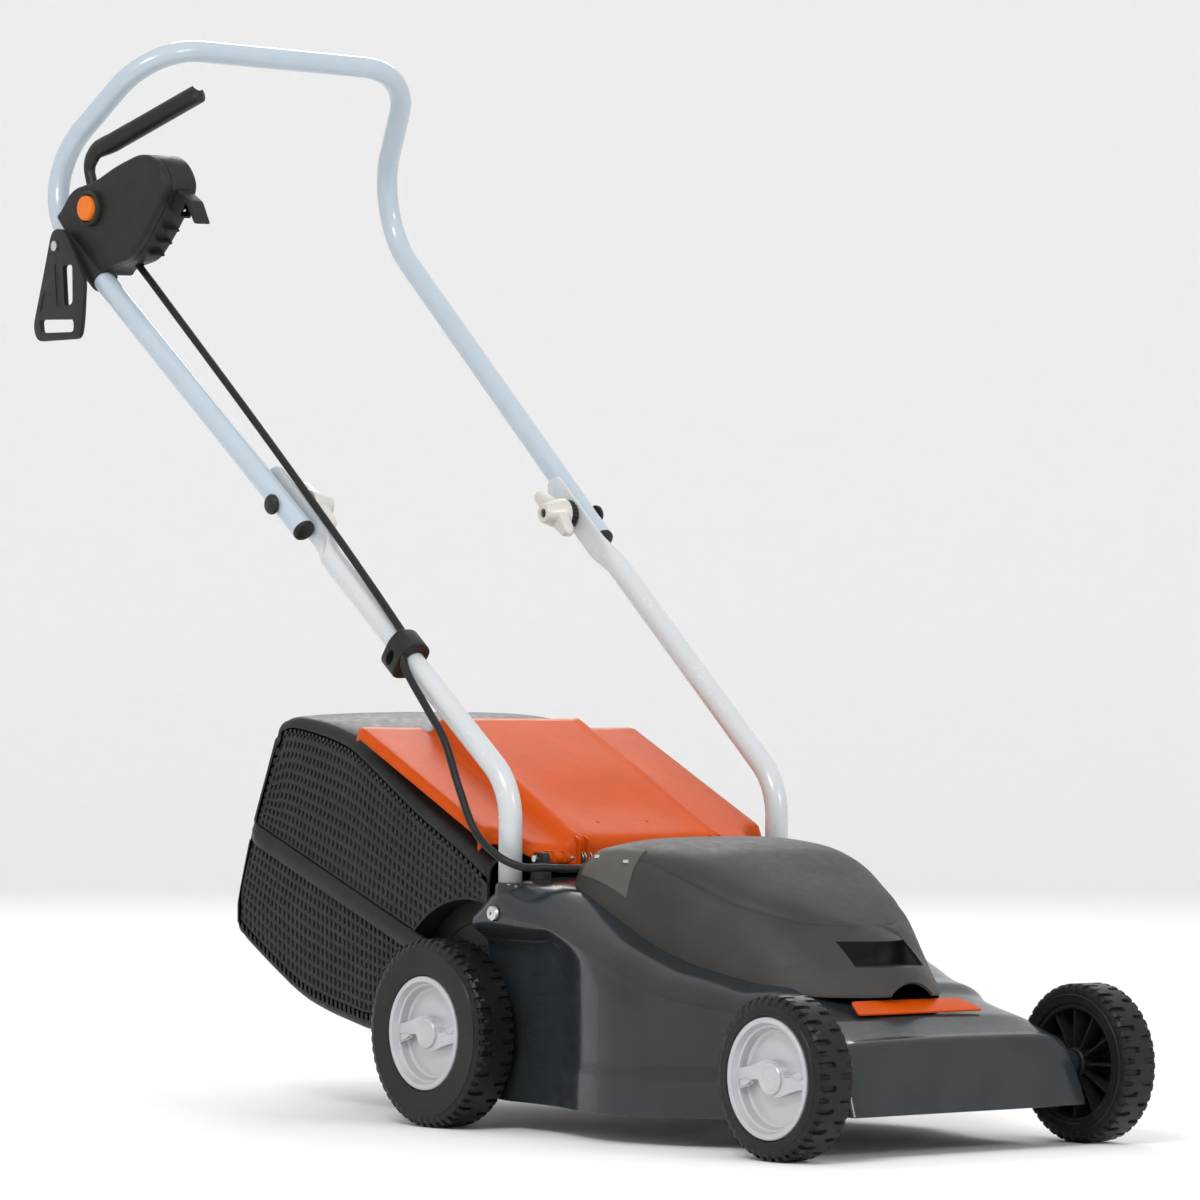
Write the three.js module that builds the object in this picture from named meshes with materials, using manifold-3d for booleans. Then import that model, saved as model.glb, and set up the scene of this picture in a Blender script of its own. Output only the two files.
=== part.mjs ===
// Corded electric rotary lawn mower, walk-behind, with a rear grass box.
// Millimetres, +Z up. The front of the mower faces -Y, the operator stands at +Y, and X runs across.
// The pieces are laid out from the middle of the rear axle, straight above the ground, and the whole
// model is then moved so that its origin is the middle of its footprint on the ground.
import * as THREE from 'three';
import { mergeVertices } from 'three/addons/utils/BufferGeometryUtils.js';
import Module from 'manifold-3d';

const wasm = await Module();
wasm.setup();

// ---------------------------------------------------------------- driving dimensions
const ORIGIN_SHIFT = new THREE.Vector3(5.4, -40.2, 0);
const FIT_GAP = 0.35;

const WHEELBASE = 457;
const REAR_WHEEL = { radius: 82.5, width: 42, outerX: 196 };
const FRONT_WHEEL = { radius: 67.5, width: 38.5, outerX: 188.5 };
const RIM_RADIUS = 50;
const AXLE_RADIUS = 6;
const AXLE_BORE_RADIUS = 6.4;
const AXLE_END_DEPTH = 13.5;

const DECK_WALL = 3;
const MOTOR_SEAT_Z = 173;
const DECK_REAR_Y = -32;
const DECK_FRONT_Y = -477;
const APRON_LEAN = 20;
const MOTOR_Y = -225;
const BLADE_RADIUS = 160;

const TUBE_RADIUS = 10.5;
const TUBE_WALL = 1.5;
const TUBE_SIDES = 10;
const BORE_SIDES = 6;
const HANDLE_HALF = 152.2;
const HANDLE_FOOT_Y = -68;
const HANDLE_FOOT_Z = 178;
const FOOT_SCREW_Z = 189;
const PIVOT_Y = 244;
const PIVOT_Z = 553.2;
const BOLT_RADIUS = 3.5;
const BOLT_HOLE_RADIUS = 3.9;
const SCREW_HOLE_RADIUS = 3.4;
const SCREW_RADIUS = 3;

const FLAP_HINGE_Y = -70;
const FLAP_HINGE_Z = 236;
const FLAP_FRONT_Y = -75;
const FLAP_FRONT_Z = 252.5;
const FLAP_SLOPE = THREE.MathUtils.degToRad(27.6);
const FLAP_THICKNESS = 2.5;

const BOX_WALL = 2.5;
const BOX_FRONT_Y = -30;
const CABLE_RADIUS = 3.5;
const CABLE_SIDES = 8;
const CABLE_STEPS = 56;

// ---------------------------------------------------------------- solids
function signedVolume(geometry) {
  const p = geometry.attributes.position;
  const index = geometry.index.array;
  const a = new THREE.Vector3();
  const b = new THREE.Vector3();
  const c = new THREE.Vector3();
  let sum = 0;
  for (let i = 0; i < index.length; i += 3) {
    a.fromBufferAttribute(p, index[i]);
    b.fromBufferAttribute(p, index[i + 1]);
    c.fromBufferAttribute(p, index[i + 2]);
    sum += a.dot(b.cross(c));
  }
  return sum / 6;
}

// Only positions are left, shared corners are merged, and the faces point outwards.
function closed(geometry) {
  const bare = geometry.clone();
  bare.deleteAttribute('normal');
  bare.deleteAttribute('uv');
  const merged = mergeVertices(bare, 1e-3);
  if (signedVolume(merged) < 0) {
    const index = merged.index.array;
    for (let i = 0; i < index.length; i += 3) [index[i], index[i + 1]] = [index[i + 1], index[i]];
  }
  return merged;
}

function toSolid(geometry) {
  const merged = closed(geometry);
  const vertProperties = new Float32Array(merged.attributes.position.array);
  const triVerts = new Uint32Array(merged.index.array);
  return new wasm.Manifold(new wasm.Mesh({ numProp: 3, vertProperties, triVerts }));
}

function toGeometry(solid) {
  const mesh = solid.getMesh();
  const geometry = new THREE.BufferGeometry();
  geometry.setAttribute('position', new THREE.BufferAttribute(Float32Array.from(mesh.vertProperties), 3));
  geometry.setIndex(new THREE.BufferAttribute(Uint32Array.from(mesh.triVerts), 1));
  return geometry;
}

function join(...geometries) {
  return toGeometry(geometries.map(toSolid).reduce((sum, solid) => sum.add(solid)));
}

function cut(body, ...tools) {
  return toGeometry(tools.map(toSolid).reduce((rest, tool) => rest.subtract(tool), toSolid(body)));
}

function common(a, b) {
  return toGeometry(toSolid(a).intersect(toSolid(b)));
}

// ---------------------------------------------------------------- shapes
const UNIT_X = new THREE.Vector3(1, 0, 0);
const UNIT_Y = new THREE.Vector3(0, 1, 0);
const UNIT_Z = new THREE.Vector3(0, 0, 1);
const OUTLINE_TO_YZ = new THREE.Matrix4().makeBasis(UNIT_Y, UNIT_Z, UNIT_X);

function box(width, depth, height, x, y, z) {
  return new THREE.BoxGeometry(width, depth, height).translate(x, y, z);
}

function polygon(points) {
  return new THREE.Shape(points.map(([x, y]) => new THREE.Vector2(x, y)));
}

function regular(radius, sides, turn = 0) {
  const points = [];
  for (let i = 0; i < sides; i += 1) {
    const angle = turn + (i / sides) * Math.PI * 2;
    points.push([radius * Math.cos(angle), radius * Math.sin(angle)]);
  }
  return polygon(points);
}

// An outline whose corners are rounded by one radius.
function rounded(points, radius, steps = 3) {
  const corners = points.map(([x, y]) => new THREE.Vector2(x, y));
  const out = [];
  corners.forEach((corner, i) => {
    const before = corners[(i + corners.length - 1) % corners.length];
    const after = corners[(i + 1) % corners.length];
    const back = Math.min(radius, before.distanceTo(corner) / 2.05);
    const ahead = Math.min(radius, after.distanceTo(corner) / 2.05);
    const start = corner.clone().lerp(before, back / before.distanceTo(corner));
    const end = corner.clone().lerp(after, ahead / after.distanceTo(corner));
    const curve = new THREE.QuadraticBezierCurve(start, corner, end);
    curve.getPoints(steps).forEach((p) => out.push([p.x, p.y]));
  });
  return polygon(out);
}

function rectangle(width, height) {
  const [x, y] = [width / 2, height / 2];
  return [[-x, -y], [x, -y], [x, y], [-x, y]];
}

function plate(shape, depth) {
  return new THREE.ExtrudeGeometry(shape, { depth, bevelEnabled: false, curveSegments: 6 });
}

// An outline in Y and Z, standing from x0 to x1.
function acrossX(shape, x0, x1) {
  return plate(shape, x1 - x0).applyMatrix4(OUTLINE_TO_YZ).translate(x0, 0, 0);
}

function rodX(radius, x0, x1, y, z, sides = 20) {
  return acrossX(regular(radius, sides), x0, x1).translate(0, y, z);
}

function rodZ(radius, z0, z1, x, y, sides = 24) {
  return plate(regular(radius, sides), z1 - z0).translate(x, y, z0);
}

// A turned solid: the profile holds [radius, height along +Z].
function turned(profile, segments = 32) {
  const points = profile.map(([r, h]) => new THREE.Vector2(r, h));
  return new THREE.LatheGeometry(points, segments).rotateX(Math.PI / 2);
}

// A turned solid about the X axis: the profile holds [radius, x].
function turnedX(profile, segments = 28) {
  return turned(profile, segments).rotateY(Math.PI / 2);
}

// A skin over closed rings with the same number of points, closed over the first and last ring.
function loft(rings) {
  const count = rings[0].length;
  const positions = [];
  const index = [];
  rings.forEach((ring) => ring.forEach(([x, y, z]) => positions.push(x, y, z)));
  for (let r = 0; r < rings.length - 1; r += 1) {
    for (let i = 0; i < count; i += 1) {
      const a = r * count + i;
      const b = r * count + ((i + 1) % count);
      index.push(a, b, b + count, a, b + count, a + count);
    }
  }
  // The ends are closed between their own points, so nothing spans the hollow of a C-shaped section.
  [[0, false], [rings.length - 1, true]].forEach(([r, isLast]) => {
    const outline = rings[r].map(([x, , z]) => new THREE.Vector2(x, z));
    const keepsOrder = isLast !== THREE.ShapeUtils.isClockWise(outline);
    THREE.ShapeUtils.triangulateShape(outline, []).forEach((face) => {
      const corners = face.map((i) => r * count + i);
      index.push(...(keepsOrder ? corners : corners.reverse()));
    });
  });
  const geometry = new THREE.BufferGeometry();
  geometry.setAttribute('position', new THREE.Float32BufferAttribute(positions, 3));
  geometry.setIndex(index);
  return closed(geometry);
}

// A line through stations. Its parameter steps from one station to the next, however far apart they are.
class StationCurve extends THREE.Curve {
  constructor(stations) {
    super();
    this.stations = stations;
  }

  getPoint(t, target = new THREE.Vector3()) {
    const last = this.stations.length - 1;
    const i = Math.min(Math.floor(t * last + 1e-6), last - 1);
    return target.copy(this.stations[i]).lerp(this.stations[i + 1], t * last - i);
  }

  getPointAt(u, target) {
    return this.getPoint(u, target);
  }

  getTangentAt(u, target = new THREE.Vector3()) {
    const last = this.stations.length - 1;
    const i = Math.round(u * last);
    const before = this.stations[Math.max(i - 1, 0)];
    const here = this.stations[i];
    const after = this.stations[Math.min(i + 1, last)];
    const arriving = here.clone().sub(before).normalize();
    const leaving = after.clone().sub(here).normalize();
    return target.copy(arriving).add(leaving).normalize();
  }
}

// The stations of a bent line: straight stretches between corners, and an arc at each corner.
function bentStations(corners, bendRadius, bendSteps = 6) {
  const points = corners.map((c) => new THREE.Vector3(...c));
  const stations = [points[0]];
  for (let i = 1; i < points.length - 1; i += 1) {
    const incoming = points[i].clone().sub(points[i - 1]).normalize();
    const outgoing = points[i + 1].clone().sub(points[i]).normalize();
    const turn = incoming.angleTo(outgoing);
    const reach = bendRadius * Math.tan(turn / 2);
    const start = points[i].clone().addScaledVector(incoming, -reach);
    const axis = incoming.clone().cross(outgoing).normalize();
    const centre = start.clone().addScaledVector(axis.clone().cross(incoming), bendRadius);
    const arm = start.clone().sub(centre);
    for (let k = 0; k <= bendSteps; k += 1) {
      stations.push(centre.clone().add(arm.clone().applyAxisAngle(axis, (turn * k) / bendSteps)));
    }
  }
  stations.push(points[points.length - 1]);
  return stations;
}

function sweep(shape, stations) {
  return new THREE.ExtrudeGeometry(shape, {
    steps: stations.length - 1,
    extrudePath: new StationCurve(stations),
    bevelEnabled: false,
  });
}

function pipe(stations, radius = TUBE_RADIUS, wall = TUBE_WALL) {
  const section = regular(radius, TUBE_SIDES);
  section.holes.push(regular(radius - wall, BORE_SIDES));
  return sweep(section, stations);
}

function coil(radius, pitch, turns, wire, stepsPerTurn = 10) {
  const stations = [];
  for (let i = 0; i <= turns * stepsPerTurn; i += 1) {
    const angle = (i / stepsPerTurn) * Math.PI * 2;
    const along = (pitch * i) / stepsPerTurn;
    stations.push(new THREE.Vector3(along, radius * Math.cos(angle), radius * Math.sin(angle)));
  }
  return sweep(regular(wire, 4), stations);
}

// ---------------------------------------------------------------- materials and the scene graph
const FINISHES = {
  deck: [0x343b42, 0.22, 0.3],
  cover: [0x3c3b39, 0.6, 0],
  flap: [0xe8590c, 0.28, 0],
  box: [0x2b2b2a, 0.55, 0],
  black: [0x242423, 0.5, 0],
  tyre: [0x1c1c1b, 0.75, 0],
  hub: [0xbfc1c2, 0.4, 0.2],
  upperTube: [0xc6d2da, 0.25, 0.1],
  lowerTube: [0xdfe2e3, 0.25, 0.1],
  knob: [0xd0cec6, 0.4, 0.1],
  button: [0xf5862e, 0.35, 0],
  zinc: [0xbfc3c6, 0.3, 0.9],
  steel: [0x8d9194, 0.35, 0.9],
  castMetal: [0x7c7f82, 0.6, 0.8],
  copper: [0xb87333, 0.4, 0.9],
  cable: [0x1d1d1d, 0.45, 0],
};

const mower = new THREE.Group();
mower.position.copy(ORIGIN_SHIFT);

function place(name, geometry, finish, parent = mower) {
  const [color, roughness, metalness] = FINISHES[finish];
  const material = new THREE.MeshStandardMaterial({ color, roughness, metalness });
  const mesh = new THREE.Mesh(closed(geometry), material);
  mesh.name = name;
  parent.add(mesh);
  return mesh;
}

const SIDES = [
  { side: 'right', sign: -1 },
  { side: 'left', sign: 1 },
];

// ---------------------------------------------------------------- wheels and axles
function tyre({ radius, width }) {
  const half = width / 2;
  const shoulder = [[radius, half - 8], [radius - 4, half - 1.5], [radius - 9, half], [RIM_RADIUS + 4, half]];
  const bore = RIM_RADIUS + FIT_GAP * 2.4;
  const seat = [[bore, half - 1.5], [bore, 1.5 - half]];
  const back = shoulder.map(([r, x]) => [r, -x]).reverse();
  const profile = [...shoulder, ...seat, ...back];
  return turnedX([...profile, profile[0]], 28);
}

// The hub's face is on its -X side: a rim, a dish and a centre cap, with a blind bore behind the cap.
function hub({ width }) {
  const face = -width / 2;
  const back = width / 2 - 2;
  return turnedX([
    [0, face + 6], [14, face + 6], [38, face + 12], [46, face + 4], [47, face], [RIM_RADIUS, face],
    [RIM_RADIUS, back], [46.5, back], [43, face + 16], [13, face + 16], [12, back],
    [AXLE_BORE_RADIUS, back], [AXLE_BORE_RADIUS, face + 12], [0, face + 12],
  ], 16);
}

const AXLES = [
  { end: 'front', wheel: FRONT_WHEEL, y: -WHEELBASE },
  { end: 'rear', wheel: REAR_WHEEL, y: 0 },
];

AXLES.forEach(({ end, wheel, y }) => {
  const reach = wheel.outerX - AXLE_END_DEPTH;
  place(`${end}_axle`, rodX(AXLE_RADIUS, -reach, reach, y, wheel.radius, 16), 'zinc');
  SIDES.forEach(({ side, sign }) => {
    const corner = new THREE.Group();
    corner.position.set(sign * (wheel.outerX - wheel.width / 2), y, wheel.radius);
    corner.rotation.z = sign > 0 ? Math.PI : 0;
    mower.add(corner);
    place(`tyre_${end}_${side}`, tyre(wheel), 'tyre', corner);
    place(`hub_${end}_${side}`, hub(wheel), 'hub', corner);
  });
});

// ---------------------------------------------------------------- deck
// Stations from the rear to the front: y, half widths at the hem and at the shoulder, heights of the
// hem, the shoulder and the crown. The widest stretch is the round cutting chamber under the motor.
const DECK_STATIONS = [
  [DECK_REAR_Y, 149, 166, 27, 196, 206],
  [-69, 149, 169, 25, 213, 220],
  [-95, 150, 169, 25, 206, 219],
  [-136, 155, 167, 25, 196, 212],
  [-195, 172, 171, 25, 177, 187],
  [-225, 176, 172, 25, 166, 173],
  [-285, 165, 163, 25, 143, 151],
  [-315, 152, 151, 25, 136, 144],
  [-340, 139, 141, 25, 132, 138],
  [-362, 134, 137, 26, 128, 135],
  [-376, 134, 135, 27, 119, 127],
  [-437, 134, 133, 33, 104, 111],
];
const WHEEL_WELL_Z = 172;

function deckRing([y, hem, shoulder, hemZ, shoulderZ, crownZ], inset, openBottom) {
  const h = hem - inset;
  const s = shoulder - inset;
  const sz = shoulderZ - inset;
  const cz = crownZ - inset;
  const wellZ = Math.min(WHEEL_WELL_Z, shoulderZ - 24);
  const lipZ = Math.min(hemZ + 40, wellZ - 12 - inset);
  const half = [
    [0, cz], [s - 36, cz - 1], [s - 10, sz], [s, sz - 13],
    [s, wellZ + 4 - inset], [h - 2, wellZ - 8 - inset], [h - 2, lipZ], [h, lipZ - 6],
    [h, hemZ - openBottom],
  ];
  const mirrored = half.slice(1).reverse().map(([x, z]) => [-x, z]);
  return [...mirrored, ...half].map(([x, z]) => [x, y, z]);
}

// The last ring leans forward down to the hem, so that the front apron slopes.
function deckRings(inset, openBottom) {
  const rings = DECK_STATIONS.map((station) => deckRing(station, inset, openBottom));
  const apron = deckRing([DECK_FRONT_Y + inset, 133, 129, 36, 94, 97], inset, openBottom);
  rings.push(apron.map(([x, y, z]) => [x, y - (APRON_LEAN * (97 - z)) / 61, z]));
  return rings;
}

function grown(rings, amount) {
  return rings.map((ring) => ring.map(([x, y, z]) => [x + Math.sign(x) * amount, y, z + amount]));
}

const deckBody = loft(deckRings(0, 0));
const deckClearance = loft(grown(deckRings(0, 0), 0.6));
const MOTOR_HOLE_RADIUS = 62;
const MOTOR_WELL_RADIUS = 79;
const CHUTE = { half: 112, low: 104, high: 194 };

function axleEar(sign, wheel, y, width) {
  const outline = rounded([[y - 45, 58], [y + 14, 58], [y + 14, 104], [y - 4, 128], [y - 45, 128]], 10);
  return acrossX(outline, sign * 147 - width / 2, sign * 147 + width / 2);
}

function frontAxleBoss(sign) {
  return rodX(12.4, sign * 137 - 11, sign * 137 + 11, -WHEELBASE, FRONT_WHEEL.radius, 10);
}

function deckShell() {
  const hollow = loft(deckRings(DECK_WALL, 20).map((ring, i) => {
    const forward = i === 0 ? -DECK_WALL : 0;
    return ring.map(([x, y, z]) => [x, y + forward, z]);
  }));
  const chute = box(CHUTE.half * 2, 24, CHUTE.high - CHUTE.low, 0, DECK_REAR_Y, (CHUTE.high + CHUTE.low) / 2);
  const well = turned([
    [MOTOR_HOLE_RADIUS, MOTOR_SEAT_Z - DECK_WALL], [MOTOR_WELL_RADIUS - DECK_WALL, MOTOR_SEAT_Z - DECK_WALL],
    [MOTOR_WELL_RADIUS - DECK_WALL, 148], [MOTOR_WELL_RADIUS, 148], [MOTOR_WELL_RADIUS, 199],
    [MOTOR_WELL_RADIUS - DECK_WALL, 199], [MOTOR_WELL_RADIUS - DECK_WALL, MOTOR_SEAT_Z],
    [MOTOR_HOLE_RADIUS, MOTOR_SEAT_Z], [MOTOR_HOLE_RADIUS, MOTOR_SEAT_Z - DECK_WALL],
  ], 20).translate(0, MOTOR_Y, 0);
  const shell = join(
    cut(deckBody, hollow, chute, rodZ(MOTOR_WELL_RADIUS - DECK_WALL + 1, 120, 240, 0, MOTOR_Y, 20)),
    well,
    ...SIDES.map(({ sign }) => axleEar(sign, REAR_WHEEL, 0, 5)),
    ...SIDES.map(({ sign }) => frontAxleBoss(sign)),
  );
  const bores = AXLES.map(({ wheel, y }) => rodX(AXLE_BORE_RADIUS, -170, 170, y, wheel.radius, 16));
  const sockets = SIDES.map(({ sign }) => {
    return rodZ(TUBE_RADIUS + 0.5, HANDLE_FOOT_Z - 0.5, 260, sign * HANDLE_HALF, HANDLE_FOOT_Y, 20);
  });
  const screwHoles = SIDES.map(({ sign }) => {
    return rodX(SCREW_HOLE_RADIUS, sign * 167 - 6, sign * 167 + 6, HANDLE_FOOT_Y, FOOT_SCREW_Z, 12);
  });
  return cut(shell, ...bores, ...sockets, ...screwHoles);
}

place('deck_shell', deckShell(), 'deck');

// A thin name plate on the sloping front of the deck, left blank.
function frontBadge() {
  const outline = rounded([[-70, -11.5], [70, -11.5], [60, 11.5], [-60, 11.5]], 4, 2);
  const lean = Math.atan2(12, 27);
  return plate(outline, 1.6).rotateX(lean).translate(0, -423.5, 118.2);
}

place('front_badge', frontBadge(), 'flap');

// ---------------------------------------------------------------- motor cover
// Stations from the rear to the nose: y, half width, heights of the lower edge and of the crown, and
// the power of the section, which is boxy at the back and rounder towards the nose.
const COVER_STATIONS = [
  [-112, 114, 217, 237, 0.6],
  [-120, 121, 213, 247, 0.6],
  [-140, 126, 206, 254, 0.6],
  [-170, 129, 196, 256, 0.58],
  [-210, 129, 177, 253, 0.58],
  [-240, 127, 164, 247, 0.62],
  [-265, 122, 155, 237, 0.68],
  [-290, 115, 147, 225, 0.73],
  [-315, 107, 139, 213, 0.77],
  [-340, 96, 134, 200, 0.8],
  [-365, 81, 130, 186, 0.83],
  [-390, 61, 128, 170, 0.86],
  [-410, 41, 128, 153, 0.9],
  [-424, 21, 129, 138, 0.9],
];
const COVER_WALL = 2.5;

function coverRing([y, half, low, crown, power], inset, openBottom) {
  const steps = 6;
  const ring = [[-(half - inset), y, low - openBottom]];
  for (let i = 0; i <= steps * 2; i += 1) {
    const angle = Math.PI * (1 - i / (steps * 2));
    const c = Math.cos(angle);
    const x = Math.sign(c) * Math.abs(c) ** power * (half - inset);
    const z = low + 0.5 + Math.sin(angle) ** power * (crown - low - 0.5 - inset);
    ring.push([x, y, z]);
  }
  ring.push([half - inset, y, low - openBottom]);
  return ring;
}

// The grip pocket in the nose is open to the front and lined by walls of its own.
function motorCover() {
  const outer = loft(COVER_STATIONS.map((s) => coverRing(s, 0, 0)));
  const inner = loft(COVER_STATIONS.map(([y, ...rest], i, all) => {
    const end = i === 0 ? -COVER_WALL : 0;
    const shift = i === all.length - 1 ? COVER_WALL * 2 : end;
    return coverRing([y + shift, ...rest], COVER_WALL, 15);
  }));
  const pocketBlock = box(96, 46, 34, 0, -367, 161);
  const pocket = box(90, 60, 26, 0, -378, 161);
  const liner = common(outer, pocketBlock);
  return cut(join(cut(outer, inner), liner), pocket, deckClearance, cableTrack(1));
}

// ---------------------------------------------------------------- motor, fan and blade
const MOTOR_TOP_Z = 222;

function motorHousing() {
  const flangeZ = MOTOR_SEAT_Z + 0.5;
  return turned([
    [9, MOTOR_TOP_Z - 3], [9, MOTOR_TOP_Z], [48, MOTOR_TOP_Z], [58, MOTOR_TOP_Z - 8], [58, flangeZ + 4],
    [74, flangeZ + 4], [74, flangeZ], [58, flangeZ], [58, 118], [54.5, 118], [54.5, MOTOR_TOP_Z - 10],
    [46, MOTOR_TOP_Z - 3], [17, MOTOR_TOP_Z - 3], [17, MOTOR_TOP_Z - 12], [14.5, MOTOR_TOP_Z - 12],
    [14.5, MOTOR_TOP_Z - 3], [9, MOTOR_TOP_Z - 3],
  ], 20).translate(0, MOTOR_Y, 0);
}

function ring(inner, outer, low, high, segments = 24) {
  return turned([[inner, low], [outer, low], [outer, high], [inner, high], [inner, low]], segments)
    .translate(0, MOTOR_Y, 0);
}

function motorEndPlate() {
  return turned([
    [8.6, 112], [54, 112], [58, 117.6], [54, 117.6], [54, 119.5], [17, 119.5], [17, 129], [14.5, 129],
    [14.5, 119.5], [8.6, 119.5], [8.6, 112],
  ], 20).translate(0, MOTOR_Y, 0);
}

function bladeSteel() {
  const outline = rounded([
    [-BLADE_RADIUS, -14], [-BLADE_RADIUS + 6, -24], [-105, -24], [-60, -19], [60, -19], [105, -19],
    [BLADE_RADIUS - 12, -19], [BLADE_RADIUS, 14], [BLADE_RADIUS - 6, 24], [105, 24], [60, 19], [-60, 19],
    [-105, 19], [-BLADE_RADIUS + 12, 19],
  ], 3, 2);
  const flat = plate(outline, 3.2).translate(0, MOTOR_Y, 46);
  return cut(flat, rodZ(8.6, 40, 56, 0, MOTOR_Y, 16));
}

// A hub disc with curved vanes that throws the clippings back into the chute.
function coolingFan() {
  const vanes = [];
  for (let i = 0; i < 8; i += 1) {
    const vane = box(36, 2.5, 21, 41, 0, 91).rotateZ((i / 8) * Math.PI * 2).translate(0, MOTOR_Y, 0);
    vanes.push(vane);
  }
  return join(ring(8.6, 62, 78, 82, 20), ring(8.6, 26, 78, 102, 20), ...vanes);
}

function motorShaft() {
  return turned([[0, 40], [8, 40], [8, MOTOR_TOP_Z - 4], [0, MOTOR_TOP_Z - 4]], 16).translate(0, MOTOR_Y, 0);
}

place('motor_housing', motorHousing(), 'castMetal');
place('motor_end_plate', motorEndPlate(), 'castMetal');
place('stator', ring(39, 53, 128, 205, 20), 'copper');
place('rotor', ring(8 + FIT_GAP, 37, 130, 203, 20), 'steel');
place('bearing_upper', ring(8 + FIT_GAP, 14.2, MOTOR_TOP_Z - 12, MOTOR_TOP_Z - 4, 16), 'steel');
place('bearing_lower', ring(8 + FIT_GAP, 14.2, 120, 128, 16), 'steel');
place('motor_shaft', motorShaft(), 'steel');
place('cooling_fan', coolingFan(), 'black');
place('blade_flange', ring(8 + FIT_GAP, 24, 49.6, 77.6, 24), 'castMetal');
place('blade', bladeSteel(), 'steel');
place('blade_washer', ring(3.4, 22, 36.5, 39.6, 20), 'zinc');
place('blade_bolt', plate(regular(11, 6), 8).translate(0, MOTOR_Y, 28.1), 'zinc');

function capacitor() {
  const can = turned([[0, 0], [11, 0], [13, 2], [13, 60], [0, 60]], 16);
  return can.rotateX(Math.PI / 2).translate(88, -150, 226);
}

place('capacitor', capacitor(), 'black');

// ---------------------------------------------------------------- rear flap
// The flap is drawn flat: x across, y up the slope from its front edge, z out of its upper face.
const FLAP_LENGTH = 233;
const FLAP_WING_LENGTH = 247;
const FLAP_FRONT_DROP = 8.7;
const FLAP_REAR_DROP = 16.8;
const FLAP_HALF = 163;
const FLAP_RAISED_HALF = 87;
const FLAP_KNUCKLE_X = 104;
const KNUCKLE_RADIUS = 6;
const KNUCKLE_HALF = 10;
const KNUCKLE_GAP = 0.4;
const HINGE_PIN_RADIUS = 2.9;
const HINGE_BORE_RADIUS = 3.3;

function onFlapSlope(geometry) {
  return geometry.rotateX(FLAP_SLOPE).translate(0, FLAP_FRONT_Y, FLAP_FRONT_Z);
}

// Half of the section: a raised middle, a short step and a wing with a turned-down edge.
function flapRing(y, wingDrop) {
  const t = FLAP_THICKNESS;
  const low = -wingDrop;
  const top = [
    [FLAP_RAISED_HALF - 12, 0], [FLAP_RAISED_HALF + 6, low], [FLAP_HALF - 2, low], [FLAP_HALF, low - 2],
    [FLAP_HALF, low - 7],
  ];
  const under = [
    [FLAP_HALF - t, low - 7], [FLAP_HALF - t, low - t], [FLAP_RAISED_HALF + 5, low - t],
    [FLAP_RAISED_HALF - 13, -t],
  ];
  const right = [...top, ...under];
  const left = right.map(([x, z]) => [-x, z]).reverse();
  return [...right, ...left].map(([x, z]) => [x, y, z]);
}

function hingeBore() {
  return rodX(HINGE_BORE_RADIUS, -170, 170, FLAP_HINGE_Y, FLAP_HINGE_Z, 12);
}

// The whole sheet lying flat, with its notches.
function flatFlap() {
  const sheet = loft([flapRing(0, FLAP_FRONT_DROP), flapRing(FLAP_WING_LENGTH, FLAP_REAR_DROP)]);
  const frontNotch = SIDES.map(({ sign }) => box(60, 70, 60, sign * 162, 0, 0));
  const bracketNotch = SIDES.map(({ sign }) => box(12, 40, 40, sign * 120, 0, 0));
  const rearNotch = box(FLAP_RAISED_HALF * 2 + 4, 40, 60, 0, FLAP_LENGTH + 20, 0);
  const tipCuts = SIDES.map(({ sign }) => {
    const corner = box(60, 60, 60, 0, 0, 0).rotateZ(Math.PI / 4);
    return corner.translate(sign * (FLAP_HALF + 26), FLAP_WING_LENGTH + 26, 0);
  });
  return cut(sheet, ...frontNotch, ...bracketNotch, rearNotch, ...tipCuts);
}

// A hinge knuckle stands under the front edge of the flap, a small gap below the sheet.
function flapKnuckle(sign) {
  const ends = [sign * FLAP_KNUCKLE_X - KNUCKLE_HALF, sign * FLAP_KNUCKLE_X + KNUCKLE_HALF];
  const barrel = rodX(KNUCKLE_RADIUS, ...ends, FLAP_HINGE_Y, FLAP_HINGE_Z, 12);
  const web = acrossX(polygon([[-74, 236], [-64.5, 236], [-67, 244.2], [-72, 242.6]]), ...ends);
  const clearance = onFlapSlope(flatFlap().translate(0, -KNUCKLE_GAP, -KNUCKLE_GAP));
  return cut(join(barrel, web), hingeBore(), clearance);
}

place('rear_flap', onFlapSlope(flatFlap()), 'flap');
SIDES.forEach(({ side, sign }) => place(`flap_knuckle_${side}`, flapKnuckle(sign), 'flap'));
place('flap_hinge_pin', rodX(HINGE_PIN_RADIUS, -128, 128, FLAP_HINGE_Y, FLAP_HINGE_Z, 10), 'zinc');
place('flap_spring', coil(6, 3.2, 4, 0.9, 8).translate(-79, FLAP_HINGE_Y, FLAP_HINGE_Z), 'steel');

// Two brackets on the deck carry the ends of the hinge pin.
function hingeBracket(sign) {
  const outline = rounded([[-82, 200], [-58, 200], [-62, 241.5], [-78, 241.5]], 4, 2);
  const upright = acrossX(outline, sign * 120 - 4, sign * 120 + 4);
  return cut(upright, hingeBore(), deckClearance);
}

SIDES.forEach(({ side, sign }) => place(`hinge_bracket_${side}`, hingeBracket(sign), 'black'));

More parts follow.
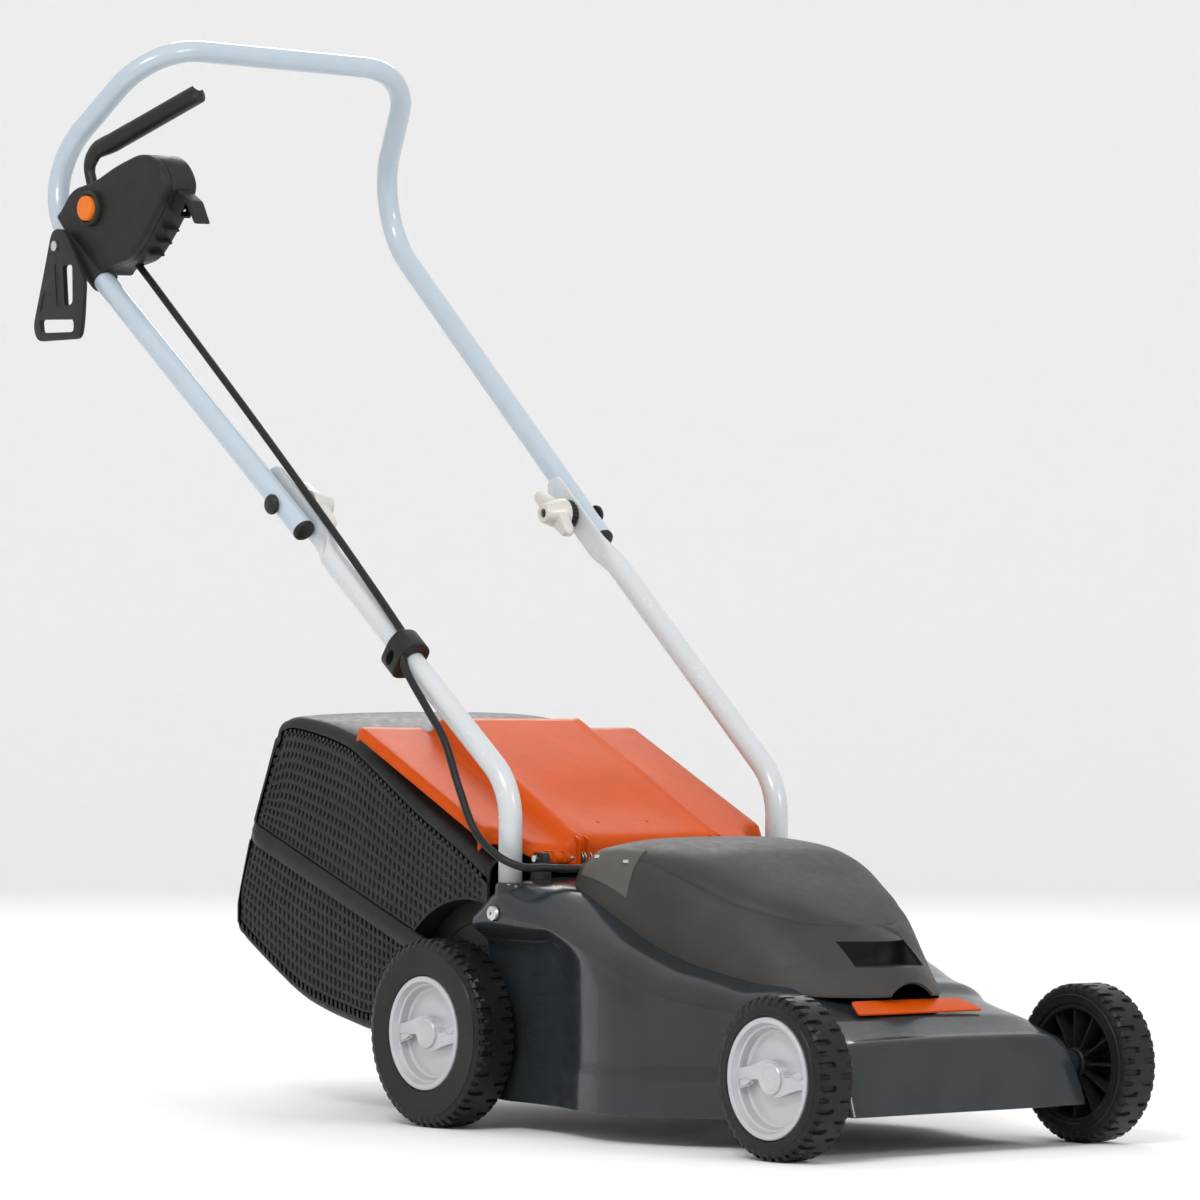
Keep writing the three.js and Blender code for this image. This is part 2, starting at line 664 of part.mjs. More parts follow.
// ---------------------------------------------------------------- grass box
// Stations from the mouth to the back: y, half width, heights of the floor, the shoulder and the lid.
const BOX_STATIONS = [
  [BOX_FRONT_Y, 147, 104, 222, 254],
  [10, 147, 102, 245, 275],
  [37, 147, 96, 259, 288],
  [70, 147, 84, 275, 304],
  [97, 147, 80, 290, 318],
  [145, 147, 76, 318, 338],
  [182, 147, 82, 337, 353],
  [237, 147, 95, 350, 364.5],
  [270, 147, 108, 354, 364],
  [287, 147, 117, 350, 357],
  [302, 147, 125, 328, 334],
  [337, 147, 145, 272, 277],
  [350, 147, 153, 240, 245],
  [360, 146, 165, 184, 188],
];
const BAND_HEIGHT = 20;
const BAND_PROUD = 5;
const BAND_SLOPE = 0.37;
const BAND_Z_AT_AXLE = 139;
const ARCH_RADIUS = 116;
const ARCH_WALL_X = 122;

function boxRing([y, half, floor, shoulder, lid], inset) {
  const h = half - inset;
  const side = [
    [0, lid - inset], [h * 0.6, lid - inset - 0.5], [h - 16, lid - inset - 1.5],
    [h - 5, Math.max(lid - inset - 7, shoulder - inset)], [h, shoulder - inset], [h, floor + inset + 8],
    [h - 9, floor + inset],
  ];
  const mirrored = side.slice(1).reverse().map(([x, z]) => [-x, z]);
  return [...mirrored, ...side].map(([x, z]) => [x, y, z]);
}

function bandZ(y) {
  return BAND_Z_AT_AXLE + BAND_SLOPE * y;
}

// A slab that follows the joint between the two halves, from `low` to `high` beside that joint.
function bandSlab(low, high) {
  const outline = [
    [-80, bandZ(-80) + low], [420, bandZ(420) + low], [420, bandZ(420) + high], [-80, bandZ(-80) + high],
  ];
  return acrossX(polygon(outline), -200, 200);
}

function archTool(inset) {
  const radius = ARCH_RADIUS + inset;
  return SIDES.map(({ sign }) => {
    const near = ARCH_WALL_X - inset;
    return rodX(radius, sign > 0 ? near : -220, sign > 0 ? 220 : -near, 0, REAR_WHEEL.radius, 40);
  });
}

function grassBoxShell(proud) {
  const outer = loft(BOX_STATIONS.map(([y, ...rest]) => boxRing([y, ...rest], -proud)));
  const inner = loft(BOX_STATIONS.map((station, i, all) => {
    const shift = i === 0 ? BOX_WALL : i === all.length - 1 ? -BOX_WALL : 0;
    return boxRing([station[0] + shift, ...station.slice(1)], BOX_WALL);
  }));
  const shell = cut(cut(outer, ...archTool(0)), cut(inner, ...archTool(BOX_WALL)));
  return cut(shell, box(CHUTE.half * 2 - 10, 24, 90, 0, BOX_FRONT_Y, 152));
}

function grassBoxHalves() {
  const shell = grassBoxShell(0);
  const rim = common(grassBoxShell(BAND_PROUD), bandSlab(-BAND_HEIGHT, -FIT_GAP));
  const behindMouth = box(400, 400, 400, 0, 190, 200);
  const upper = common(shell, bandSlab(0, 400));
  const lower = join(common(shell, bandSlab(-400, -FIT_GAP)), common(rim, behindMouth));
  return { upper, lower };
}

const grassBox = grassBoxHalves();
place('grass_box_upper', grassBox.upper, 'box');
place('grass_box_lower', grassBox.lower, 'box');

// ---------------------------------------------------------------- lower handle tubes
// Above the bend a tube rises one millimetre for every HANDLE_RUN back and HANDLE_SPLAY outwards.
const HANDLE_RUN = 1.224;
const HANDLE_SPLAY = 0.068;
const PLATE_START_Z = 502;

function lowerLine(z) {
  return [162.5 + HANDLE_SPLAY * (z - 450), 116.8 + HANDLE_RUN * (z - 450), z];
}

function lowerHandle(sign) {
  const corners = [[HANDLE_HALF, HANDLE_FOOT_Y, HANDLE_FOOT_Z], [HANDLE_HALF, HANDLE_FOOT_Y, 299]];
  corners.push(lowerLine(PLATE_START_Z));
  const placed = corners.map(([x, y, z]) => [sign * x, y, z]);
  const tube = pipe(bentStations(placed, 62, 4));
  const along = new THREE.Vector3(sign * HANDLE_SPLAY, HANDLE_RUN, 1).normalize();
  const flat = new THREE.Vector3().crossVectors(along, UNIT_X).normalize();
  const out = new THREE.Vector3().crossVectors(flat, along).normalize();
  const start = new THREE.Vector3(...placed[2]);
  const section = (distance, halfWide, halfThick, inward) => {
    const centre = start.clone().addScaledVector(along, distance).addScaledVector(out, -sign * inward);
    const points = [];
    for (let i = 0; i < TUBE_SIDES; i += 1) {
      const angle = (i / TUBE_SIDES) * Math.PI * 2;
      const p = centre.clone().addScaledVector(flat, halfWide * Math.cos(angle));
      p.addScaledVector(out, halfThick * Math.sign(Math.sin(angle)) * Math.abs(Math.sin(angle)) ** 0.6);
      points.push(p.toArray());
    }
    return points;
  };
  const crushed = loft([
    section(-3, TUBE_RADIUS, TUBE_RADIUS, 0), section(2, TUBE_RADIUS, TUBE_RADIUS, 0),
    section(30, 12.5, 4, 6.5), section(44, 13, 2.6, 7.9), section(124, 13, 2.6, 7.9),
    section(134, 10, 2.6, 7.9), section(138, 5, 2.6, 7.9),
  ]);
  const boltHole = rodX(BOLT_HOLE_RADIUS, -230, 230, PIVOT_Y, PIVOT_Z, 14);
  const screwHole = rodX(SCREW_HOLE_RADIUS, -200, 200, HANDLE_FOOT_Y, FOOT_SCREW_Z, 12);
  return cut(join(tube, crushed), boltHole, screwHole);
}

SIDES.forEach(({ side, sign }) => place(`lower_handle_${side}`, lowerHandle(sign), 'lowerTube'));

function footScrew(sign) {
  const shaft = rodX(SCREW_RADIUS, 136, 171, HANDLE_FOOT_Y, FOOT_SCREW_Z, 10);
  const head = rodX(7, 169.8, 174, HANDLE_FOOT_Y, FOOT_SCREW_Z, 14);
  return join(shaft, head).scale(sign, 1, 1);
}

SIDES.forEach(({ side, sign }) => place(`handle_screw_${side}`, footScrew(sign), 'zinc'));

// ---------------------------------------------------------------- upper handle
const UPPER_RUN = 1.219;
const UPPER_SPLAY = 0.087;
const UPPER_END_Z = 529;

function upperLine(z) {
  return [193.2 + UPPER_SPLAY * (z - 750), 484 + UPPER_RUN * (z - 750), z];
}

const UPPER_ELBOW = [206, 628, 868.4];
const UPPER_CORNER = [152.7, 498.7, 999.8];

function upperStations() {
  const half = [upperLine(UPPER_END_Z), UPPER_ELBOW, UPPER_CORNER];
  const mirrored = half.map(([x, y, z]) => [-x, y, z]);
  return bentStations([...mirrored, ...half.slice().reverse()], 70, 6);
}

function upperHandle() {
  return cut(pipe(upperStations()), rodX(BOLT_HOLE_RADIUS, -230, 230, PIVOT_Y, PIVOT_Z, 14));
}

place('upper_handle', upperHandle(), 'upperTube');

// A plug with a head as wide as the tube closes each lower end of the upper handle.
function tubeEndCap(sign) {
  const end = new THREE.Vector3(sign * upperLine(UPPER_END_Z)[0], upperLine(UPPER_END_Z)[1], UPPER_END_Z);
  const up = new THREE.Vector3(sign * UPPER_SPLAY, UPPER_RUN, 1).normalize();
  const stem = TUBE_RADIUS - TUBE_WALL - 1.2;
  const cap = turned([
    [0, -3.5], [8, -3.5], [TUBE_RADIUS, -2], [TUBE_RADIUS, -FIT_GAP], [stem, -FIT_GAP], [stem, 8], [0, 8],
  ], 14);
  const turn = new THREE.Quaternion().setFromUnitVectors(UNIT_Z, up);
  return cap.applyQuaternion(turn).translate(end.x, end.y, end.z);
}

// The clamp that holds the fold: a bolt from outside, a ribbed washer and a winged knob inside.
const FOLD = { headX: 187.8, washerX: 158, knobX: 149.4 };

function foldBolt(sign) {
  const shaft = rodX(BOLT_RADIUS, 126, FOLD.headX + 1, PIVOT_Y, PIVOT_Z, 12);
  const headProfile = [[0, 0], [9.5, 0], [9.5, 2.5], [7, 5], [0, 5.6]];
  const head = turnedX(headProfile, 18).translate(FOLD.headX, PIVOT_Y, PIVOT_Z);
  return join(shaft, head).scale(sign, 1, 1);
}

function foldWasher(sign) {
  const length = FOLD.washerX - FOLD.knobX - FIT_GAP;
  const bore = BOLT_HOLE_RADIUS;
  const profile = [[bore, 0], [13, 0], [14, length], [bore, length], [bore, 0]];
  return turnedX(profile, 20).translate(FOLD.knobX + FIT_GAP, PIVOT_Y, PIVOT_Z).scale(sign, 1, 1);
}

function wingKnob(sign) {
  const body = turnedX([
    [BOLT_HOLE_RADIUS, -24], [8, -25], [12, -20], [15, -8], [15, 0],
    [BOLT_HOLE_RADIUS, 0], [BOLT_HOLE_RADIUS, -24],
  ], 20);
  const wing = rounded([[-31, -6], [31, -6], [33, 6], [-33, 6]], 4, 2);
  const wings = cut(acrossX(wing, -17, -2), rodX(10, -30, 10, 0, 0, 16)).rotateX(0.69);
  const knob = join(body, wings);
  return knob.translate(FOLD.knobX, PIVOT_Y, PIVOT_Z).scale(sign, 1, 1);
}

SIDES.forEach(({ side, sign }) => {
  place(`tube_end_cap_${side}`, tubeEndCap(sign), 'black');
  place(`fold_bolt_${side}`, foldBolt(sign), 'black');
  place(`fold_washer_${side}`, foldWasher(sign), 'black');
  place(`wing_knob_${side}`, wingKnob(sign), 'knob');
});

// ---------------------------------------------------------------- switch box
// Its frame sits on the axis of the right-hand tube: x down the tube, y forwards and up, z outwards.
const SWITCH_Z = 812;
const switchBox = new THREE.Group();
const downTube = new THREE.Vector3(UPPER_SPLAY, -UPPER_RUN, -1).normalize();
const outwards = UNIT_X.clone().negate().addScaledVector(downTube, downTube.x).normalize();
const forwards = new THREE.Vector3().crossVectors(outwards, downTube);
switchBox.quaternion.setFromRotationMatrix(new THREE.Matrix4().makeBasis(downTube, forwards, outwards));
switchBox.position.set(-upperLine(SWITCH_Z)[0], upperLine(SWITCH_Z)[1], SWITCH_Z);
mower.add(switchBox);
switchBox.updateMatrix();

const SWITCH_OUTLINE = [
  [-37, 4], [-30, 15], [-28, 44], [-2, 72], [17, 103], [42, 135], [60, 144], [79, 143], [95, 134], [96, 114],
  [94, 78], [88, 45], [61, 16], [61, 4],
];
const SWITCH_FACE = 10;
const SWITCH_BACK = -30;
const SWITCH_WALL = 2.5;
const CLAMP_RADIUS = 14;
const CLAMP = { top: -10, bottom: 60, split: 0.2 };
const LEVER_PIVOT = [-8, 48];
const BUTTON_CENTRE = [12, 50];
const COLLAR_RADIUS = 17;
const HOOK_PIVOT = [562, 809];
const HOOK_X = -218;
const HOOK_PIN_RADIUS = 2.5;
const HOOK_BORE_RADIUS = 2.9;
const LEVER_PIN_RADIUS = 2.5;
const LEVER_BORE_RADIUS = 2.8;
const BUTTON_HOLE_RADIUS = 12.6;
const toSwitchFrame = switchBox.matrix.clone().invert();

function zRod(radius, z0, z1, [u, v], sides = 20) {
  return rodZ(radius, z0, z1, u, v, sides);
}

// The outline moved inwards by a wall: every corner slides along the mean of its two edge normals.
function shrunk(points, wall) {
  const corners = points.map(([x, y]) => new THREE.Vector2(x, y));
  return corners.map((corner, i) => {
    const before = corners[(i + corners.length - 1) % corners.length];
    const after = corners[(i + 1) % corners.length];
    const first = corner.clone().sub(before).normalize();
    const second = after.clone().sub(corner).normalize();
    const normal = new THREE.Vector2(first.y + second.y, -first.x - second.x).normalize();
    const reach = wall / Math.max(0.5, normal.dot(new THREE.Vector2(first.y, -first.x)));
    return [corner.x + normal.x * reach, corner.y + normal.y * reach];
  });
}

// One half of the box: its outline with the clamp on the tube, hollowed from the joint side.
function switchHalf(z0, z1, floorLow, floorHigh) {
  const body = plate(rounded(SWITCH_OUTLINE, 8, 2), z1 - z0).translate(0, 0, z0);
  const barrel = acrossX(regular(CLAMP_RADIUS, 16), CLAMP.top, CLAMP.bottom);
  const clampLow = z0 < 0 ? -CLAMP_RADIUS : z0;
  const clampHigh = z0 < 0 ? z1 : CLAMP_RADIUS;
  const clamp = common(barrel, box(120, 40, clampHigh - clampLow, 11, 0, (clampLow + clampHigh) / 2));
  const room = plate(rounded(shrunk(SWITCH_OUTLINE, SWITCH_WALL), 6, 2), floorHigh - floorLow);
  const aboveTube = box(200, 160, 120, 30, 100, 0);
  const cavity = common(room.translate(0, 0, floorLow), aboveTube);
  const tubeSpace = sweep(regular(TUBE_RADIUS + 0.6, 16), upperStations()).applyMatrix4(toSwitchFrame);
  return cut(join(body, clamp), cavity, tubeSpace);
}

function leverSlot() {
  return box(60, 40, 13, -24, 62, -6);
}

// The outer half also carries the stub that the cord hook hangs from.
function switchOuter() {
  const half = switchHalf(CLAMP.split, SWITCH_FACE, -1, SWITCH_FACE - SWITCH_WALL);
  const stub = rodX(5, HOOK_X + 3, HOOK_X + 6.4, ...HOOK_PIVOT, 14).applyMatrix4(toSwitchFrame);
  const stubBore = rodX(HOOK_BORE_RADIUS, HOOK_X, HOOK_X + 7, ...HOOK_PIVOT, 10).applyMatrix4(toSwitchFrame);
  return cut(join(half, stub), stubBore, zRod(BUTTON_HOLE_RADIUS, -5, 30, BUTTON_CENTRE), leverSlot());
}

const CABLE_EXIT = [72, 27, -21];
const INLET = { u: 94, v: 120, w: -14 };

function switchInner() {
  const half = switchHalf(SWITCH_BACK, -CLAMP.split, SWITCH_BACK + SWITCH_WALL, 1);
  const inletHole = box(30, 21.6, 15.6, INLET.u, INLET.v, INLET.w);
  return cut(half, cableTrack(0.5).applyMatrix4(toSwitchFrame), inletHole, leverSlot());
}

function buttonCollar() {
  const profile = [[13, 0], [COLLAR_RADIUS, 0], [COLLAR_RADIUS, 4], [16, 6], [13, 6], [13, 0]];
  return turned(profile, 24).translate(...BUTTON_CENTRE, SWITCH_FACE + FIT_GAP);
}

function lockButton() {
  const profile = [[0, 1], [6, 1], [6, 3], [12, 3], [12, 18], [10.5, 19.5], [0, 20.5]];
  return turned(profile, 24).translate(...BUTTON_CENTRE, 0);
}

place('button_collar', buttonCollar(), 'black', switchBox);
place('lock_button', lockButton(), 'button', switchBox);
place('switch_module', box(36, 44, 20, 52, 84, -14), 'black', switchBox);
place('lever_pin', zRod(LEVER_PIN_RADIUS, -27, -0.5, LEVER_PIVOT, 12), 'steel', switchBox);

// The arm leaves the top of the box, bends forwards, and the grip then runs along the handle's upper
// arm and leans inwards with it. The grip is hollow on the side of the tube.
const LEVER_PATH = [[...LEVER_PIVOT, -6], [-38, 66, -7], [-38, 84, -9], [-26, 101, -14], [32, 201, -40]];
const GRIP_RADIUS = 9.5;

function switchLever() {
  const arm = sweep(regular(5.5, 8), bentStations(LEVER_PATH, 8, 3));
  const bend = new THREE.Vector3(...LEVER_PATH[3]);
  const tip = new THREE.Vector3(...LEVER_PATH[4]);
  const along = tip.clone().sub(bend).normalize();
  const towardsTube = new THREE.Vector3(-1, 0, 0).addScaledVector(along, along.x).normalize();
  const grip = sweep(regular(GRIP_RADIUS, 12), [bend.clone().addScaledVector(along, 4), tip]);
  const hollow = sweep(regular(GRIP_RADIUS - 2, 10), [
    bend.clone().addScaledVector(along, 14).addScaledVector(towardsTube, 6),
    tip.clone().addScaledVector(along, 10).addScaledVector(towardsTube, 6),
  ]);
  const eye = zRod(7, -11, -1, LEVER_PIVOT, 16);
  return cut(join(cut(join(arm, grip), hollow), eye), zRod(LEVER_BORE_RADIUS, -20, 10, LEVER_PIVOT, 12));
}

place('switch_lever', switchLever(), 'black', switchBox);

// The mains inlet: a shroud open towards the front with two pins, under a peaked hood.
function plugInlet() {
  const { u, v, w } = INLET;
  const shroud = cut(box(26, 21, 15, u + 3, v, w), box(24, 17, 11, u + 6, v, w));
  const peak = [[101, 132], [118, 134], [140, 124], [134, 120], [116, 127], [101, 128]];
  const hood = plate(rounded(peak, 2, 2), 15);
  const pins = [-4, 4].map((offset) => acrossX(regular(2, 8), u - 8, u + 13).translate(0, v + offset, w));
  return join(shroud, hood.translate(0, 0, w - 7.5), ...pins);
}

place('plug_inlet', plugInlet(), 'black', switchBox);

// ---------------------------------------------------------------- cord hook
// A flat plate hangs beside the switch box; the loop of an extension cord is tucked through its slots.
const HOOK_OUTLINE = [
  [571, 822], [563, 826], [548, 824], [530, 800], [513, 774], [516, 735], [520, 718], [594, 719], [602, 733],
  [587, 775],
];
const HOOK_SLOTS = [
  [[550, 790], [533, 790], [532, 752], [546, 750]],
  [[590, 740], [530, 737], [530, 725], [588, 727]],
];

function cordHook() {
  const blade = acrossX(rounded(HOOK_OUTLINE, 8, 3), HOOK_X - 2.5, HOOK_X + 2.5);
  const slots = HOOK_SLOTS.map((slot) => acrossX(rounded(slot, 4, 2), HOOK_X - 10, HOOK_X + 10));
  return cut(blade, ...slots, rodX(HOOK_BORE_RADIUS, HOOK_X - 20, HOOK_X + 20, ...HOOK_PIVOT, 12));
}

function hookPin() {
  const shaft = rodX(HOOK_PIN_RADIUS, HOOK_X - 3.5, HOOK_X + 6.2, ...HOOK_PIVOT, 10);
  return join(shaft, rodX(5, HOOK_X - 5, HOOK_X - 2.8, ...HOOK_PIVOT, 14));
}

place('cord_hook', cordHook(), 'black');
place('hook_pin', hookPin(), 'zinc');

// ---------------------------------------------------------------- cable
// A plain block round the lower tube grips the tube and the cable.
const CLIP = { z: 415, half: 11, wide: 25, deep: 18 };

function clipCentre() {
  const [x, y, z] = lowerLine(CLIP.z);
  return new THREE.Vector3(-x, y, z);
}

function clipBasis() {
  const along = new THREE.Vector3(-HANDLE_SPLAY, HANDLE_RUN, 1).normalize();
  const above = new THREE.Vector3().crossVectors(along, UNIT_X).normalize();
  const aside = new THREE.Vector3().crossVectors(above, along).normalize();
  if (above.z < 0) above.negate();
  if (aside.x > 0) aside.negate();
  return { along, above, aside };
}

function cableClip() {
  const { along, above, aside } = clipBasis();
  const outline = rounded(rectangle(CLIP.wide * 2, CLIP.deep * 2), 10, 3);
  const block = plate(outline, CLIP.half * 2).translate(0, -3, -CLIP.half);
  const basis = new THREE.Matrix4().makeBasis(above, aside.clone().negate(), along);
  if (basis.determinant() < 0) basis.makeBasis(above, aside, along);
  const placed = block.applyMatrix4(basis).translate(...clipCentre().toArray());
  const stations = [-1, 1].map((end) => clipCentre().addScaledVector(along, end * 40));
  return cut(placed, sweep(regular(TUBE_RADIUS + 0.6, 16), stations), cableTrack(0.6));
}

// Inside the clip the cable passes from above the tube to beside it.
function cableRoute() {
  const { along, above, aside } = clipBasis();
  const [u, v, w] = CABLE_EXIT;
  const start = new THREE.Vector3(u - 20, v, w).applyMatrix4(switchBox.matrix);
  const out = new THREE.Vector3(u + 30, v - 1, w).applyMatrix4(switchBox.matrix);
  const wrap = [[15, 75], [2, 55], [-12, 20], [-24, 0]].map(([distance, degrees]) => {
    const angle = THREE.MathUtils.degToRad(degrees);
    return clipCentre()
      .addScaledVector(along, distance)
      .addScaledVector(above, Math.sin(angle) * CABLE_OFFSET)
      .addScaledVector(aside, Math.cos(angle) * CABLE_OFFSET);
  });
  const loose = CABLE_LOOP.map((point) => new THREE.Vector3(...point));
  return new THREE.CatmullRomCurve3([start, out, ABOVE_FOLD, ...wrap, ...loose], false, 'centripetal');
}

const CABLE_OFFSET = 15.5;
const ABOVE_FOLD = new THREE.Vector3(-164.5, 250, 585);
const CABLE_LOOP = [
  [-175, 23, 366], [-176, -3, 339], [-175.5, -25, 296], [-174, -45, 261], [-172, -74, 240], [-160, -93, 230],
  [-140, -102, 229], [-120, -108, 228], [-104, -122, 228], [-96, -140, 227],
];

function cableTrack(clearance) {
  const path = cableRoute();
  return sweep(regular(CABLE_RADIUS + clearance, CABLE_SIDES), path.getSpacedPoints(CABLE_STEPS));
}

place('switch_cable', cableTrack(0), 'cable');
place('cable_clip', cableClip(), 'black');
place('switch_box_outer', switchOuter(), 'black', switchBox);
place('switch_box_inner', switchInner(), 'black', switchBox);
place('motor_cover', motorCover(), 'cover');

export default mower;
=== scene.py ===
"""A corded walk-behind lawn mower: its looks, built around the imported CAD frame."""
import math

import bmesh
import bpy
from mathutils import Matrix, Vector


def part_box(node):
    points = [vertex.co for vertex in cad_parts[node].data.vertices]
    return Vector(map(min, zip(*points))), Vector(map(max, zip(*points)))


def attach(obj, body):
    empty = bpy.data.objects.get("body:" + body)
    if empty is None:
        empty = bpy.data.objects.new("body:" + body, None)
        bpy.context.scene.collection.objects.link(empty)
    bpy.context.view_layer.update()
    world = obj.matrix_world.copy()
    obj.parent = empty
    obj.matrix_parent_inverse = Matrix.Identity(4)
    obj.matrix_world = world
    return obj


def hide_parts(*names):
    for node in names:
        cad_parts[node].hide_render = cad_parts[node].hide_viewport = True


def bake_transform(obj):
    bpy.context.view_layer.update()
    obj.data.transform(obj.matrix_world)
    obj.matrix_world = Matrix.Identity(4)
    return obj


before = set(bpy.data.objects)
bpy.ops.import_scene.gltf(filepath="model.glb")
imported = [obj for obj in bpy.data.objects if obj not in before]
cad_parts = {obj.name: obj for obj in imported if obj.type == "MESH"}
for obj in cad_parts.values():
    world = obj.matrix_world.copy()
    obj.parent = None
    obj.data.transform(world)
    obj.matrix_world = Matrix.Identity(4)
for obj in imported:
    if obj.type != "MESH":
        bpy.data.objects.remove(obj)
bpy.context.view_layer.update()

# Sizes below are in millimetres, in the mower's own coordinates: x from its middle plane, y from
# the rear axle towards the operator, z up from the ground. The operator's right hand is at -x.
MM = 0.001
SIDES = (("right", -1), ("left", 1))


def middle(node):
    low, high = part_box(node)
    return (low + high) / 2


MID_X = middle("deck_shell").x
REAR_Y = middle("rear_axle").y
REAR_AXLE_Z = middle("rear_axle").z / MM
FRONT_AXLE_Z = middle("front_axle").z / MM
FRONT_AXLE_Y = (middle("front_axle").y - REAR_Y) / MM
REAR_RADIUS = REAR_AXLE_Z
FRONT_RADIUS = FRONT_AXLE_Z


def at(p):
    """A point in metres in the row frame, from millimetres in the mower's coordinates."""
    return Vector((p[0] * MM + MID_X, p[1] * MM + REAR_Y, p[2] * MM))


# Places that several pieces share: the handle's feet, the motor's axis, the flap's hinge line and
# the cord hook's pin.
FOOT_X, FOOT_Y = 152.2, -68
MOTOR_Y = -225
HINGE_Y, HINGE_Z = -70, 236
HOOK_PIN = (0, 562, 809)


# ---------------------------------------------------------------- numbers and outlines
def mix(a, b, t):
    return a + (b - a) * t


def ease(t):
    t = min(1.0, max(0.0, t))
    return t * t * (3 - 2 * t)


def round_angles(sides):
    return [2 * math.pi * k / sides for k in range(sides)]


def quarter_angles(steps):
    return [math.pi / 2 * k / steps for k in range(steps + 1)]


def rectangle(x0, y0, x1, y1):
    return [(x0, y0), (x1, y0), (x1, y1), (x0, y1)]


def shift(x, y, z):
    return Matrix.Translation((x, y, z))


def curve_through(stations, y):
    """The row of a station table at y, on smooth curves that don't overshoot."""
    rows = sorted(stations)
    y = min(max(y, rows[0][0]), rows[-1][0])
    i = max(k for k in range(len(rows) - 1) if rows[k][0] <= y)
    here, there = rows[i], rows[i + 1]
    span = there[0] - here[0]
    t = (y - here[0]) / span
    result = []
    for c in range(1, len(here)):
        slope = (there[c] - here[c]) / span
        before = (here[c] - rows[i - 1][c]) / (here[0] - rows[i - 1][0]) if i else slope
        after = slope
        if i + 2 < len(rows):
            after = (rows[i + 2][c] - there[c]) / (rows[i + 2][0] - there[0])
        m0 = 0.0 if before * slope <= 0 else 2 * before * slope / (before + slope)
        m1 = 0.0 if after * slope <= 0 else 2 * after * slope / (after + slope)
        a = (1 + 2 * t) * (1 - t) ** 2 * here[c] + t * (1 - t) ** 2 * span * m0
        b = t * t * (3 - 2 * t) * there[c] + t * t * (t - 1) * span * m1
        result.append(a + b)
    return result


def rounded(points, radii, steps=4, closed=True):
    """A 2-D line whose corners are curves. radii is one radius, or one for each corner."""
    n = len(points)
    if not hasattr(radii, "__len__"):
        radii = [radii] * n
    out = []
    for i, p in enumerate(points):
        if not closed and i in (0, n - 1):
            out.append(tuple(p))
            continue
        corner = Vector(p)
        before = Vector(points[i - 1]) - corner
        after = Vector(points[(i + 1) % n]) - corner
        reach_in = min(radii[i], before.length * 0.48)
        reach_out = min(radii[i], after.length * 0.48)
        a = corner + before.normalized() * reach_in
        b = corner + after.normalized() * reach_out
        for k in range(steps + 1):
            t = k / steps
            out.append(tuple((1 - t) ** 2 * a + 2 * t * (1 - t) * corner + t * t * b))
    return out


def bent(corners, radius, steps=10):
    """A 3-D line of straight stretches with an arc at each corner."""
    points = [Vector(c) for c in corners]
    out = [points[0]]
    for i in range(1, len(points) - 1):
        incoming = (points[i] - points[i - 1]).normalized()
        outgoing = (points[i + 1] - points[i]).normalized()
        turn = incoming.angle(outgoing)
        start = points[i] - incoming * radius * math.tan(turn / 2)
        axis = incoming.cross(outgoing).normalized()
        centre = start + axis.cross(incoming) * radius
        for k in range(steps + 1):
            out.append(centre + Matrix.Rotation(turn * k / steps, 3, axis) @ (start - centre))
    out.append(points[-1])
    return out


def catmull(points, per_span=6):
    """A smooth line through points."""
    pts = [Vector(p) for p in points]
    out = []
    for i in range(len(pts) - 1):
        p1, p2 = pts[i], pts[i + 1]
        p0 = pts[i - 1] if i else p1 * 2 - p2
        p3 = pts[i + 2] if i + 2 < len(pts) else p2 * 2 - p1
        d = (p2 - p1).length
        m1 = (p2 - p0).normalized() * d
        m2 = (p3 - p1).normalized() * d
        for k in range(per_span):
            t = k / per_span
            h = (2 * t**3 - 3 * t**2 + 1, t**3 - 2 * t**2 + t, -2 * t**3 + 3 * t**2, t**3 - t**2)
            out.append(p1 * h[0] + m1 * h[1] + p2 * h[2] + m2 * h[3])
    out.append(pts[-1])
    return out


# ---------------------------------------------------------------- meshes
class Shape:
    """Vertices in millimetres in the mower's coordinates, and faces with a material number."""

    def __init__(self):
        self.vertices = []
        self.faces = []
        self.kinds = []

    def add(self, vertices, faces, kind=0):
        base = len(self.vertices)
        self.vertices.extend(Vector(v) for v in vertices)
        for face in faces:
            self.faces.append([base + i for i in face])
            self.kinds.append(kind)
        return self

    def grid(self, rows, wrap=False, loop=False, kind=0, ends=False):
        """Quads between rows of points. wrap joins each row's ends, loop the last row to the first."""
        count = len(rows[0])
        vertices = [p for row in rows for p in row]
        faces = []
        for r in range(len(rows) if loop else len(rows) - 1):
            s = (r + 1) % len(rows)
            for c in range(count if wrap else count - 1):
                d = (c + 1) % count
                faces.append((r * count + c, r * count + d, s * count + d, s * count + c))
        if ends:
            faces.append(tuple(range(count))[::-1])
            faces.append(tuple((len(rows) - 1) * count + c for c in range(count)))
        return self.add(vertices, faces, kind)

    def move(self, matrix):
        self.vertices = [matrix @ v for v in self.vertices]
        return self

    def join(self, other, matrix=None):
        base = len(self.vertices)
        self.vertices.extend(matrix @ v if matrix else v for v in other.vertices)
        self.faces.extend([base + i for i in face] for face in other.faces)
        self.kinds.extend(other.kinds)
        return self


